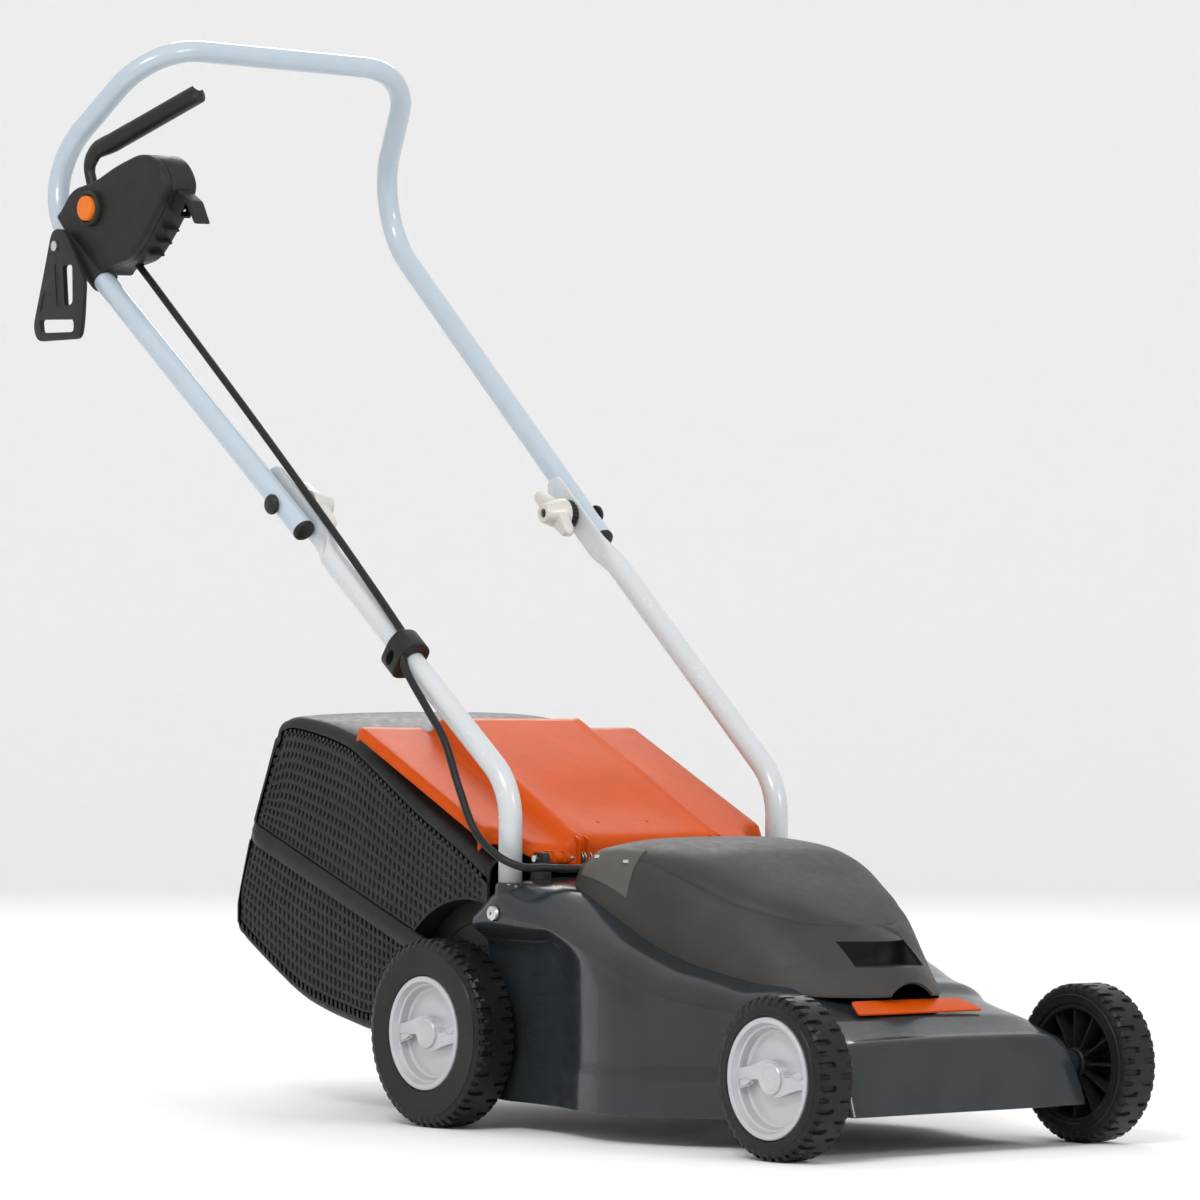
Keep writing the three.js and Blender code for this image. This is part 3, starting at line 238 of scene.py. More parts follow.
def turned(profile, sides=48, axis="Z"):
    """A lathe shape about an axis through the origin. The profile holds (radius, height)."""
    rows = []
    for radius, height in profile:
        row = []
        for angle in round_angles(sides):
            a, b = radius * math.cos(angle), radius * math.sin(angle)
            row.append({"Z": (a, b, height), "X": (height, a, b)}[axis])
        rows.append(row)
    shape = Shape().grid(rows, wrap=True)
    if tuple(profile[0]) == tuple(profile[-1]):
        return shape
    for r, at_start in ((0, True), (len(profile) - 1, False)):
        if profile[r][0] > 1e-6:
            base = r * sides
            ring = list(range(base, base + sides))
            shape.faces.append(ring[::-1] if at_start else ring)
            shape.kinds.append(0)
    return shape


def frames_along(path):
    """A point, side and up direction at each point of a line, with no twist."""
    path = [Vector(p) for p in path]
    out = []
    tangents = []
    for i in range(len(path)):
        a = path[max(i - 1, 0)]
        b = path[min(i + 1, len(path) - 1)]
        tangents.append((b - a).normalized())
    side = tangents[0].orthogonal().normalized()
    for p, t in zip(path, tangents):
        side = (side - t * side.dot(t)).normalized()
        out.append((p, side, t.cross(side)))
    return out


def pipe(path, radius, sides=20, ends=True):
    """A round bar along a line."""
    rows = [
        [p + (side * math.cos(a) + up * math.sin(a)) * radius for a in round_angles(sides)]
        for p, side, up in frames_along(path)
    ]
    return Shape().grid(rows, wrap=True, ends=ends)


def slab(outline, low, high):
    """An outline in x and y, from z low to z high."""
    n = len(outline)
    vertices = [(x, y, low) for x, y in outline] + [(x, y, high) for x, y in outline]
    faces = [tuple(range(n))[::-1], tuple(range(n, 2 * n))]
    faces += [(i, (i + 1) % n, n + (i + 1) % n, n + i) for i in range(n)]
    return Shape().add(vertices, faces)


OUTLINE_TO_YZ = Matrix(((0, 0, 1, 0), (1, 0, 0, 0), (0, 1, 0, 0), (0, 0, 0, 1)))


def upright(outline, x0, x1):
    """An outline in y and z, from x0 to x1."""
    return slab(outline, x0, x1).move(OUTLINE_TO_YZ)


def block(low, high):
    return slab(rectangle(*low[:2], *high[:2]), low[2], high[2])


def make_object(name, shape, angle=38):
    mesh = bpy.data.meshes.new(name)
    mesh.from_pydata([at(v) for v in shape.vertices], [], shape.faces)
    mesh.polygons.foreach_set("material_index", shape.kinds)
    bm = bmesh.new()
    bm.from_mesh(mesh)
    bmesh.ops.remove_doubles(bm, verts=bm.verts, dist=2e-6)
    bmesh.ops.recalc_face_normals(bm, faces=bm.faces)
    bm.to_mesh(mesh)
    bm.free()
    mesh.shade_smooth()
    mesh.set_sharp_from_angle(angle=math.radians(angle))
    obj = bpy.data.objects.new(name, mesh)
    bpy.context.scene.collection.objects.link(obj)
    return obj


def bevel(obj, width, segments=3, angle=35):
    modifier = obj.modifiers.new("bevel", "BEVEL")
    modifier.width = width * MM
    modifier.segments = segments
    modifier.limit_method = "ANGLE"
    modifier.angle_limit = math.radians(angle)
    modifier.harden_normals = True
    return obj


def solidify(obj, thickness):
    modifier = obj.modifiers.new("solidify", "SOLIDIFY")
    modifier.thickness = thickness * MM
    modifier.offset = -1.0
    modifier.use_even_offset = False
    modifier.use_quality_normals = True
    return obj


def apply_modifiers(obj):
    graph = bpy.context.evaluated_depsgraph_get()
    mesh = bpy.data.meshes.new_from_object(obj.evaluated_get(graph))
    obj.modifiers.clear()
    obj.data = mesh
    return obj


def combine(obj, operation, *tools):
    """Cuts shapes out of an object, or joins them to it. Every shape is a closed solid."""
    for i, shape in enumerate(tools):
        tool = make_object(f"{obj.name}_tool_{i}", shape)
        modifier = obj.modifiers.new("combine", "BOOLEAN")
        modifier.operation = operation
        modifier.solver = "MANIFOLD"
        modifier.object = tool
        bpy.context.view_layer.update()
        apply_modifiers(obj)
        bpy.data.objects.remove(tool)
    obj.data.set_sharp_from_angle(angle=math.radians(38))
    return obj


def cut(obj, *tools):
    return combine(obj, "DIFFERENCE", *tools)


def fuse(obj, *tools):
    return combine(obj, "UNION", *tools)


def dress(obj, body, slot, *materials, replaces=()):
    """Puts an object on its body, with its materials and the nodes it stands for. The slot argument is not
    used.
    """
    if obj.data.materials:
        obj.data.materials.clear()
    for material in materials:
        obj.data.materials.append(material)
    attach(obj, body)
    if replaces:
        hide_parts(*replaces)
    return obj


# ---------------------------------------------------------------- materials
def material(
    name, color, roughness, metallic=0.0, coat=0.0, grain=None, mottle=0.0, scuff=0.0, wave=0.0, shine=0.2
):
    """A finish with moulded grain (size in mm, height in mm), slight mottling, scuffs and waviness."""
    mat = bpy.data.materials.new(name)
    mat.use_nodes = True
    nodes, links = mat.node_tree.nodes, mat.node_tree.links
    shader = nodes["Principled BSDF"]
    shader.inputs["Metallic"].default_value = metallic
    shader.inputs["Coat Weight"].default_value = coat
    shader.inputs["Specular IOR Level"].default_value = shine
    shader.inputs["Coat Roughness"].default_value = 0.08
    where = nodes.new("ShaderNodeTexCoord")

    def noise(size, detail=3.0, distortion=0.0):
        node = nodes.new("ShaderNodeTexNoise")
        node.inputs["Scale"].default_value = 1.0 / (size * MM)
        node.inputs["Detail"].default_value = detail
        node.inputs["Distortion"].default_value = distortion
        links.new(where.outputs["Object"], node.inputs["Vector"])
        return node.outputs["Fac"]

    def ramp(value, low, high, from_low=0.35, from_high=0.65):
        node = nodes.new("ShaderNodeMapRange")
        node.inputs["From Min"].default_value = from_low
        node.inputs["From Max"].default_value = from_high
        node.inputs["To Min"].default_value = low
        node.inputs["To Max"].default_value = high
        links.new(value, node.inputs["Value"])
        return node.outputs["Result"]

    tint = nodes.new("ShaderNodeMix")
    tint.data_type = "RGBA"
    dark = [c * (1 - mottle) for c in color]
    light = [min(1.0, c * (1 + mottle) + 0.01 * mottle) for c in color]
    tint.inputs["A"].default_value = (*dark, 1)
    tint.inputs["B"].default_value = (*light, 1)
    links.new(ramp(noise(38.0, 5.0), 0.0, 1.0), tint.inputs["Factor"])
    links.new(tint.outputs["Result"], shader.inputs["Base Color"])
    rough = ramp(noise(9.0, 6.0, 0.4), roughness - scuff, roughness + scuff, 0.3, 0.7)
    links.new(rough, shader.inputs["Roughness"])
    bumps = [(grain[0], 2.0, grain[1])] if grain else []
    if wave:
        bumps.append((26.0, 1.0, wave))
    normal = None
    for size, detail, depth in bumps:
        bump = nodes.new("ShaderNodeBump")
        bump.inputs["Strength"].default_value = 1.0
        bump.inputs["Distance"].default_value = depth * MM
        links.new(noise(size, detail), bump.inputs["Height"])
        if normal is not None:
            links.new(normal, bump.inputs["Normal"])
        normal = bump.outputs["Normal"]
    if normal is not None:
        links.new(normal, shader.inputs["Normal"])
    return mat


DECK_GLOSS = material(
    "deck_gloss", (0.019, 0.024, 0.028), 0.20, coat=0.2, mottle=0.06, scuff=0.05, wave=0.12, shine=0.3
)
COVER_MATTE = material(
    "cover_matte", (0.039, 0.038, 0.034), 0.50, grain=(0.9, 0.07), mottle=0.08, scuff=0.05
)
# The paler grey of the patch low on the cover's right rear corner.
PALER_PATCH_GREY = material(
    "paler_patch_grey", (0.085, 0.084, 0.074), 0.45, grain=(0.9, 0.05), mottle=0.08, scuff=0.06
)
FLAP_ORANGE = material("flap_orange", (0.54, 0.068, 0.002), 0.36, mottle=0.04, scuff=0.04, shine=0.12)
BOX_BLACK = material(
    "box_black", (0.017, 0.017, 0.016), 0.40, grain=(0.7, 0.05), mottle=0.1, scuff=0.06
)
# Near-black painted shade for the floors of the grass box's slots and the back of its side panels.
SLOT_SHADE_BLACK = material("slot_painted_shade", (0.004, 0.004, 0.004), 0.75, mottle=0.1)
UPPER_PAINT = material(
    "upper_paint", (0.42, 0.495, 0.56), 0.22, coat=0.4, mottle=0.01, scuff=0.02, shine=0.5
)
LOWER_PAINT = material(
    "lower_paint", (0.54, 0.56, 0.575), 0.26, coat=0.3, mottle=0.01, scuff=0.02, shine=0.5
)
TYRE_BLACK = material(
    "tyre_black", (0.011, 0.011, 0.012), 0.36, grain=(1.2, 0.03), mottle=0.12, scuff=0.08
)
HUB_SILVER = material("hub_silver", (0.50, 0.51, 0.53), 0.34, metallic=0.35, mottle=0.03, scuff=0.05)
HUB_BLACK = material("hub_black", (0.014, 0.014, 0.014), 0.45, mottle=0.08, scuff=0.06)
KNOB_SILVER = material("knob_silver", (0.60, 0.585, 0.54), 0.38, metallic=0.2, mottle=0.03, scuff=0.06)
SWITCH_BLACK = material(
    "switch_black", (0.019, 0.019, 0.017), 0.46, grain=(0.8, 0.06), mottle=0.08, scuff=0.07
)
HOOK_BLACK = material("hook_black", (0.020, 0.020, 0.019), 0.38, mottle=0.1, scuff=0.07, wave=0.05)
BUTTON_ORANGE = material(
    "button_orange", (0.72, 0.17, 0.015), 0.34, grain=(0.8, 0.02), mottle=0.05, scuff=0.05
)
CABLE_BLACK = material("cable_black", (0.013, 0.013, 0.013), 0.42, mottle=0.08, scuff=0.08)
ZINC = material("zinc", (0.62, 0.62, 0.60), 0.28, metallic=1.0, mottle=0.06, scuff=0.1)
STEEL = material("steel", (0.34, 0.34, 0.35), 0.35, metallic=1.0, mottle=0.1, scuff=0.1)
CAST = material(
    "cast_metal", (0.28, 0.28, 0.29), 0.55, metallic=0.8, grain=(1.5, 0.08), mottle=0.1, scuff=0.1
)
COPPER = material("copper", (0.60, 0.24, 0.09), 0.36, metallic=1.0, mottle=0.12, scuff=0.1)
FLOOR_PALE = material("floor_pale", (0.93, 0.93, 0.93), 0.8, mottle=0.004)

# ---------------------------------------------------------------- camera, light and floor
LENS_MM = 160.46
SENSOR_MM = 36.0
CAMERA_AZIMUTH, CAMERA_ELEVATION, CAMERA_ROLL = -38.61, -1.39, 0.20
CAMERA_PLACE = Vector((-2.9887, -3.8099, 0.3615))


def set_camera():
    data = bpy.data.cameras.new("camera")
    data.sensor_width = SENSOR_MM
    data.lens = LENS_MM
    data.shift_x = -0.0114
    data.shift_y = -0.0121
    data.clip_end = 60.0
    camera = bpy.data.objects.new("camera", data)
    bpy.context.scene.collection.objects.link(camera)
    a, e = math.radians(CAMERA_AZIMUTH), math.radians(CAMERA_ELEVATION)
    back = Vector((math.sin(a) * math.cos(e), -math.cos(a) * math.cos(e), math.sin(e)))
    right = Vector((0, 0, 1)).cross(back).normalized()
    up = back.cross(right)
    turn = Matrix((right, up, back)).transposed().to_4x4()
    camera.matrix_world = Matrix.Translation(CAMERA_PLACE) @ turn @ Matrix.Rotation(
        math.radians(CAMERA_ROLL), 4, "Z"
    )
    bpy.context.scene.camera = camera


def area_light(name, place, target, size, power, size_y=None):
    data = bpy.data.lights.new(name, "AREA")
    data.energy = power
    data.size = size
    if size_y:
        data.shape = "RECTANGLE"
        data.size_y = size_y
    light = bpy.data.objects.new(name, data)
    light.location = place
    light.rotation_euler = (Vector(target) - Vector(place)).to_track_quat("-Z", "Y").to_euler()
    bpy.context.scene.collection.objects.link(light)


def set_stage():
    profile = [(0.01, 0.0), (3000, 0.0), (6400, 0.0)]
    profile += [(6400 + 2600 * math.sin(a), 2600 * (1 - math.cos(a))) for a in quarter_angles(10)[1:]]
    profile += [(9000, 7000)]
    rows = [
        [(radius * math.cos(t), radius * math.sin(t), height) for t in round_angles(96)]
        for radius, height in profile
    ]
    floor = make_object("studio_floor", Shape().grid(rows, wrap=True), 80)
    floor.data.materials.append(FLOOR_PALE)
    world = bpy.data.worlds.new("studio")
    world.use_nodes = True
    world.node_tree.nodes["Background"].inputs["Color"].default_value = (1, 1, 1, 1)
    world.node_tree.nodes["Background"].inputs["Strength"].default_value = 0.86
    bpy.context.scene.world = world
    area_light("key_light", (-3.2, -2.2, 3.6), (0, 0, 0.4), 1.6, 95, 1.0)
    area_light("front_light", (0.6, -4.6, 2.4), (0, 0, 0.35), 1.4, 45, 0.8)
    area_light("rear_light", (2.6, 3.4, 3.2), (0, 0, 0.5), 1.8, 50)
    bpy.context.scene.view_settings.view_transform = "Standard"


set_camera()
set_stage()

# ---------------------------------------------------------------- grass box
# Along the box: y, then the heights of the floor, of the shoulder at the sides and of the lid.
BOX_HALF, BOX_WALL = 147, 2.4
BOX_PROFILE = [
    (-30, 104, 222, 254), (10, 102, 245, 275), (37, 96, 259, 288), (70, 84, 275, 304), (97, 80, 290, 318),
    (145, 76, 318, 338), (182, 82, 337, 353), (237, 95, 350, 364), (270, 108, 354, 363), (287, 117, 350, 357),
    (302, 125, 328, 334), (337, 145, 272, 277), (350, 153, 240, 245), (360, 165, 184, 188),
]
BAND_SLOPE, BAND_Z, BAND_HEIGHT = 0.37, 139, 20
ARCH_RADIUS, ARCH_WALL_X = 116, 122
SLOT_PITCH, ROW_PITCH, SLOT_DEPTH = 6.75, 8.9, 1.7
# The material number of the slots' painted shade.
SLOT_SHADE_KIND = 1
BACK_LOW, BACK_HIGH = (360, 184), (296, 343)


def band_z(y):
    return BAND_Z + BAND_SLOPE * y


def shoulder_z(y):
    return curve_through(BOX_PROFILE, y)[1]


def floor_z(y):
    return curve_through(BOX_PROFILE, y)[0]


def back_y(z, inset=0.0):
    """Where the sloping back stands at height z."""
    share = (z - BACK_LOW[1]) / (BACK_HIGH[1] - BACK_LOW[1])
    lean = mix(BACK_LOW[0], BACK_HIGH[0], share)
    return min(lean + 5 * math.sin(math.pi * min(1, max(0, share))), 360) - inset


def grille(side, bottom, top, front, rows):
    """A side panel with slots: bottom(y) and top(y) bound it, front and the box's back end it."""
    x = side * BOX_HALF
    across = [0.0]
    for r in range(rows):
        a, b = (r + 0.14) / rows, (r + 0.86) / rows
        across += [a, a + 0.02, b - 0.02, b]
    across.append(1.0)
    columns = int((back_y(bottom(330)) - front - 14) / SLOT_PITCH)
    along = [0.0]
    for c in range(columns):
        a, b = (c + 0.24) / columns, (c + 0.80) / columns
        along += [mix(0.018, 0.985, s) for s in (a, a + 0.07 / columns, b - 0.07 / columns, b)]
    along.append(1.0)
    outer, inner = [], []
    for i, v in enumerate(across):
        line, back_line = [], []
        for j, u in enumerate(along):
            inside = 0 < i < len(across) - 1 and 0 < j < len(along) - 1
            deep = inside and i % 4 in (2, 3) and j % 4 in (2, 3)
            y = front
            for _ in range(3):
                z = mix(bottom(y), top(y), v)
                y = mix(front, back_y(z, 3), u)
            z = mix(bottom(y), top(y), v)
            line.append((x - side * (SLOT_DEPTH if deep else 0), y, z))
            back_line.append((x - side * 3, y, z))
        outer.append(line)
        inner.append(back_line)
    shape = Shape().grid(outer)
    # The slot floors get the near-black material: painted shade in the slots.
    for index in range(len(shape.faces)):
        r, c = divmod(index, len(along) - 1)
        if r % 4 == 2 and c % 4 == 2:
            shape.kinds[index] = SLOT_SHADE_KIND
    for end in (0, -1):
        shape.grid([outer[end], inner[end]])
    for end in (0, -1):
        shape.grid([[row[end] for row in outer], [row[end] for row in inner]])
    # The panel's back gets the same painted shade.
    shape.grid(inner, kind=SLOT_SHADE_KIND)
    return shape


def crown(x, half):
    """The share of the lid's rise at x: flat in the middle, rounded towards the shoulders."""
    t = min(1.0, abs(x) / half)
    return (1 - t**3.2) ** 0.8


def box_upper():
    edge = [(BOX_HALF - 7 + 7 * math.sin(a), 7 * (1 - math.cos(a))) for a in quarter_angles(5)]
    inner = [BOX_HALF - 7 - (BOX_HALF - 7) * k / 16 for k in range(1, 17)]
    half = [(x, 0.0) for x in inner[::-1]] + edge + [(BOX_HALF, 14.0)]
    section = [(-x, d) for x, d in half[:0:-1]] + half
    rows = []
    for k in range(50):
        y = mix(-30, 284, k / 49)
        _, shoulder, lid = curve_through(BOX_PROFILE, y)
        rise = lid - shoulder - 4
        rows.append([(x, y, shoulder + 4 + rise * crown(x, BOX_HALF) - d) for x, d in section])
    _, top_shoulder, top_lid = curve_through(BOX_PROFILE, 284)
    top_shoulder += 4
    for a in quarter_angles(6)[1:]:
        row = []
        for x, d in section:
            rise = (top_lid - top_shoulder) * crown(x, BOX_HALF)
            z = top_shoulder + rise - 18 * (1 - math.cos(a))
            y = 284 + 14 * math.sin(a) + 4 * crown(x, BOX_HALF) * math.sin(a)
            row.append((x, y - d * math.sin(a), z - d * math.cos(a)))
        rows.append(row)
    start_z, low_end = top_shoulder - 18, 260
    for k in range(1, 11):
        t = k / 10
        row = []
        for x, d in section:
            rise = (top_lid - top_shoulder) * crown(x, BOX_HALF) * (1 - t)
            z = mix(start_z, low_end, t) + rise
            bulge = 4 * crown(x, BOX_HALF)
            row.append((x, min(back_y(z) + bulge + 1, 362) - d, z))
        rows.append(row)
    return solidify(make_object("grass_box_lid", Shape().grid(rows), 50), BOX_WALL)


def box_side_upper(side):
    return grille(
        side, lambda y: band_z(y) + 1.0, lambda y: shoulder_z(min(y, 292)) - 5 - max(0, y - 292) * 0.4,
        -28, round(98 / ROW_PITCH),
    )


def box_side_lower(side):
    return grille(
        side, lambda y: floor_z(y) + 7, lambda y: band_z(y) - BAND_HEIGHT + 1.0, 20, 10,
    )


def box_lower():
    """The floor, wrapped up at the sides and at the back as far as the band."""
    bend = [(BOX_HALF - 9 + 9 * math.sin(a), 9 * (1 - math.cos(a))) for a in quarter_angles(5)]
    half = [(0.0, 0.0), (50.0, 0.0), (100.0, 0.0)] + bend + [(BOX_HALF, 16.0)]
    section = [(-x, d) for x, d in half[:0:-1]] + half
    rows = []
    for k in range(40):
        y = mix(-30, 352, k / 39)
        rows.append([(x, y, floor_z(y) + d) for x, d in section])
    end_z = floor_z(352)
    for a in quarter_angles(4)[1:]:
        reach, rise = math.sin(a), 10 * (1 - math.cos(a))
        rows.append([(x, 352 + 8 * reach - 0.6 * d * reach, end_z + rise + d) for x, d in section])
    for k in range(1, 9):
        z = mix(end_z + 10, 256, k / 8)
        rows.append([(x, back_y(z) - d * 0.6, z + d * (1 - k / 8)) for x, d in section])
    return solidify(make_object("grass_box_floor", Shape().grid(rows), 50), BOX_WALL)


def box_band():
    """The lipped rim along the joint, round the back and along both sides."""
    line = [(BOX_HALF, mix(-8, 318, k / 24)) for k in range(25)]
    corner = [(BOX_HALF - 22 + 22 * math.cos(a), 318 + 22 * math.sin(a)) for a in quarter_angles(8)[1:]]
    across = [(mix(BOX_HALF - 22, 0, k / 8), 340) for k in range(1, 9)]
    half = line + corner + across
    path = half + [(-x, y) for x, y in half[-2::-1]]
    profile = [(-2, 0), (1.5, 0.2), (4, 2), (5, 6), (5, 13), (3.6, 17), (1.2, 19.6), (-2, 20)]
    rows = []
    for i, (x, y) in enumerate(path):
        before, after = path[max(0, i - 1)], path[min(len(path) - 1, i + 1)]
        direction = Vector((after[0] - before[0], after[1] - before[1])).normalized()
        out = Vector((direction.y, -direction.x))
        if out.dot(Vector((x, y - 150))) < 0:
            out = -out
        rows.append([(x + out.x * p, y + out.y * p, band_z(y) - 20 + h) for p, h in profile])
    return Shape().grid(rows, wrap=True, ends=True)


def arch_piece(side):
    """The recess round the rear wheel: a flat wall and a ring."""
    def about_axle(x, radius, angle):
        return (side * x, radius * math.cos(angle), REAR_AXLE_Z + radius * math.sin(angle))

    near, far = ARCH_WALL_X - 1, BOX_HALF + 0.8
    section = ((near, 0), (far, 0), (far, 2.4), (near, 2.4))
    rows = [
        [about_axle(x, ARCH_RADIUS + r, math.radians(mix(14, 116, k / 32))) for x, r in section]
        for k in range(33)
    ]
    shape = Shape().grid(rows, wrap=True, ends=True)
    outline = [(-28, 106)] + [
        ((ARCH_RADIUS + 1) * math.cos(a), REAR_AXLE_Z + (ARCH_RADIUS + 1) * math.sin(a))
        for a in (math.radians(mix(104, 14, k / 20)) for k in range(21))
    ]
    shape.join(upright(outline, side * ARCH_WALL_X - 1.2, side * ARCH_WALL_X + 1.2))
    for r in (50, 76, 98):
        ridge = ((0, -1), (2.2, -0.6), (2.2, 0.6), (0, 1))
        rows = [
            [about_axle(ARCH_WALL_X + h, r + w, math.radians(mix(35, 95, k / 16))) for h, w in ridge]
            for k in range(17)
        ]
        shape.grid(rows, wrap=True, ends=True)
    return shape


def make_grass_box():
    dress(box_upper(), "grass_box", "box_plastic", BOX_BLACK, SLOT_SHADE_BLACK, replaces=("grass_box_upper",))
    dress(box_lower(), "grass_box", "box_plastic", BOX_BLACK, SLOT_SHADE_BLACK, replaces=("grass_box_lower",))
    bevel(dress(make_object("grass_box_band", box_band(), 60), "grass_box", "box_plastic", BOX_BLACK), 0.8, 2)
    for side, sign in SIDES:
        wheel_space = turned([(ARCH_RADIUS + 1, -240), (ARCH_RADIUS + 1, 240)], 96, "X")
        wheel_space.move(shift(0, 0, REAR_AXLE_Z))
        for part, maker in (("upper", box_side_upper), ("lower", box_side_lower)):
            panel = make_object(f"grass_box_panel_{part}_{side}", maker(sign), 30)
            cut(panel, wheel_space)
            dress(panel, "grass_box", "box_plastic", BOX_BLACK, SLOT_SHADE_BLACK)
        arch = make_object(f"grass_box_arch_{side}", arch_piece(sign), 30)
        bevel(dress(arch, "grass_box", "box_plastic", BOX_BLACK), 0.6, 2)


# ---------------------------------------------------------------- rear flap
FLAP_FRONT = (-75, 252.5)
FLAP_SLOPE = math.radians(27.6)
FLAP_LENGTH, FLAP_WING_LENGTH = 233, 247
FLAP_RAISED = 87


def on_flap(x, along, height):
    """A point on the flap: across, up its slope, and out of its face."""
    c, s = math.cos(FLAP_SLOPE), math.sin(FLAP_SLOPE)
    return (x, FLAP_FRONT[0] + along * c - height * s, FLAP_FRONT[1] + along * s + height * c)


def flap_height(x, along):
    """The height of the flap's face: a raised middle, a curved step down and flat wings."""
    share = along / FLAP_WING_LENGTH
    drop = mix(8.7, 16.8, share)
    inner = mix(FLAP_RAISED - 5, FLAP_RAISED - 10, share)
    t = ease((abs(x) - inner) / 13)
    height = -drop * t
    height += 1.2 * math.exp(-((abs(x) - inner + 3) / 2.2) ** 2) * ease(1.0 - share * 0.2)
    dish = 2.2 * math.exp(-((along - 62) / 46) ** 2) * (1 - ease((abs(x) - 40) / 34))
    return height - dish


def flap_sheet():
    rows = []
    columns = [0, 10, 22, 34, 46, 56, 64, 70, 74, 77, 80, 83, 86, 89, 92, 95, 100]
    columns += [110, 122, 134, 146, 154, 158, 161, 163]
    line = [-x for x in columns[:0:-1]] + columns
    lengths = [mix(0, FLAP_WING_LENGTH, k / 48) for k in range(49)]
    for along in lengths:
        row = []
        for x in line:
            edge = ease((abs(x) - 156) / 7)
            front = mix(0, 34, ease((abs(x) - 120) / 20))
            limit = mix(FLAP_LENGTH, FLAP_WING_LENGTH, ease((abs(x) - FLAP_RAISED - 1) / 3))
            limit -= 10 * ease((abs(x) - 154) / 9) ** 1.5
            y = mix(front, limit, along / FLAP_WING_LENGTH)
            height = flap_height(x, y) - 7 * edge**2
            lip = max(0.0, 1 - (limit - y) / 5.0)
            height -= 4.0 * lip**2
            nose = max(0.0, 1 - (y - front) / 7.0)
            height -= 5.0 * nose**2
            row.append(on_flap(x, y, height))
        rows.append(row)
    wall = []
    for k in range(1, 6):
        row = []
        for i, x in enumerate(line):
            x0, y0, z0 = rows[0][i]
            low = 228 if abs(x) < 112 else z0 - 7
            row.append((x0, y0 - 0.12 * k, mix(z0, min(z0, low), k / 5)))
        wall.append(row)
    return Shape().grid(wall[::-1] + rows)


def make_flap():
    flap = make_object("flap_sheet", flap_sheet(), 60)
    solidify(flap, 2.3)
    dress(flap, "flap", "flap_plastic", FLAP_ORANGE, replaces=("rear_flap",))
    ribs = Shape()
    for sign in (-1, 1):
        for x in (72, 82):
            outline = rounded([(-77, 229), (-73, 229), (-70, 256), (-78, 252)], 1.2, 2)
            ribs.join(upright(outline, sign * x - 0.9, sign * x + 0.9))
        for x in (98, 110):
            tab = rounded([(-77.5, 232), (-66, 232), (-66, 243), (-76, 243)], 1.5, 2)
            ribs.join(upright(tab, sign * x - 1.2, sign * x + 1.2))
        eye = turned([(3.2, -11), (6, -11), (6, 11), (3.2, 11), (3.2, -11)], 24, "X")
        ribs.join(eye, shift(sign * 102, HINGE_Y, HINGE_Z))
    for x, along in ((-36, 34), (20, 34)):
        dot = turned([(0, 0.9), (1.6, 0.8), (2.4, 0)], 16)
        spot = shift(*on_flap(x, along, flap_height(x, along) - 0.2))
        ribs.join(dot, spot @ Matrix.Rotation(FLAP_SLOPE, 4, "X"))
    bevel(dress(make_object("flap_ribs", ribs, 30), "flap", "flap_plastic", FLAP_ORANGE), 0.5, 2)


# ---------------------------------------------------------------- deck
# y, half widths at the hem and at the shoulder, heights of the hem, the shoulder and the crown.
DECK_WALL = 3
DECK_PROFILE = [
    (-32, 149, 166, 27, 196, 206), (-69, 149, 169, 25, 213, 220), (-95, 150, 169, 25, 206, 219),
    (-136, 155, 167, 25, 196, 212), (-195, 172, 171, 25, 177, 187), (-225, 176, 172, 25, 166, 173),
    (-285, 165, 163, 25, 143, 151), (-315, 152, 151, 25, 136, 144), (-340, 139, 141, 25, 132, 138),
    (-362, 134, 137, 26, 128, 135), (-376, 134, 135, 27, 119, 127), (-437, 134, 133, 33, 104, 111),
]
APRON = (-477, 133, 129, 36, 94, 97)
APRON_LEAN = 20


def deck_section(row):
    hem, shoulder, hem_z, shoulder_height, crown_z = row
    well = min(172, shoulder_height - 24)
    lip = min(hem_z + 40, well - 12)
    corners = [
        (0, crown_z), (shoulder - 36, crown_z - 1), (shoulder - 10, shoulder_height),
        (shoulder, shoulder_height - 13), (shoulder, well + 4), (hem - 2, well - 8), (hem - 2, lip),
        (hem, lip - 6), (hem, hem_z),
    ]
    return rounded(corners, [0, 40, 18, 12, 10, 10, 4, 4, 0], 4, closed=False)


def deck_body():
    rows = []
    for k in range(80):
        y = mix(-32, -437, k / 79)
        half = deck_section(curve_through(DECK_PROFILE, y))
        rows.append([(-x, y, z) for x, z in half[:0:-1]] + [(x, y, z) for x, z in half])
    last = deck_section(curve_through(DECK_PROFILE, -437))
    end = deck_section(APRON[1:])
    for k in range(1, 9):
        t = k / 8
        half = []
        for (x0, z0), (x1, z1) in zip(last, end):
            x, z = mix(x0, x1, t), mix(z0, z1, t)
            half.append((x, mix(-437, APRON[0] + 7, t) - t * APRON_LEAN * (97 - z) / 61, z))
        rows.append([(-x, y, z) for x, y, z in half[:0:-1]] + half)
    edge = rows[-1]
    for a in quarter_angles(5)[1:]:
        back, down = 7 * math.sin(a), 7 * (1 - math.cos(a))
        rows.append([
            (x - math.copysign(min(abs(x), down), x), y - back, z - down * ease((z - 60) / 30))
            for x, y, z in edge
        ])
    shape = Shape().grid(rows)
    front = rows[-1]
    middle_index = len(front) // 2
    face = []
    for i in range(middle_index, len(front)):
        right, left = Vector(front[i]), Vector(front[2 * middle_index - i])
        face.append([left.lerp(right, k / 20) for k in range(21)])
    return shape.grid(face)


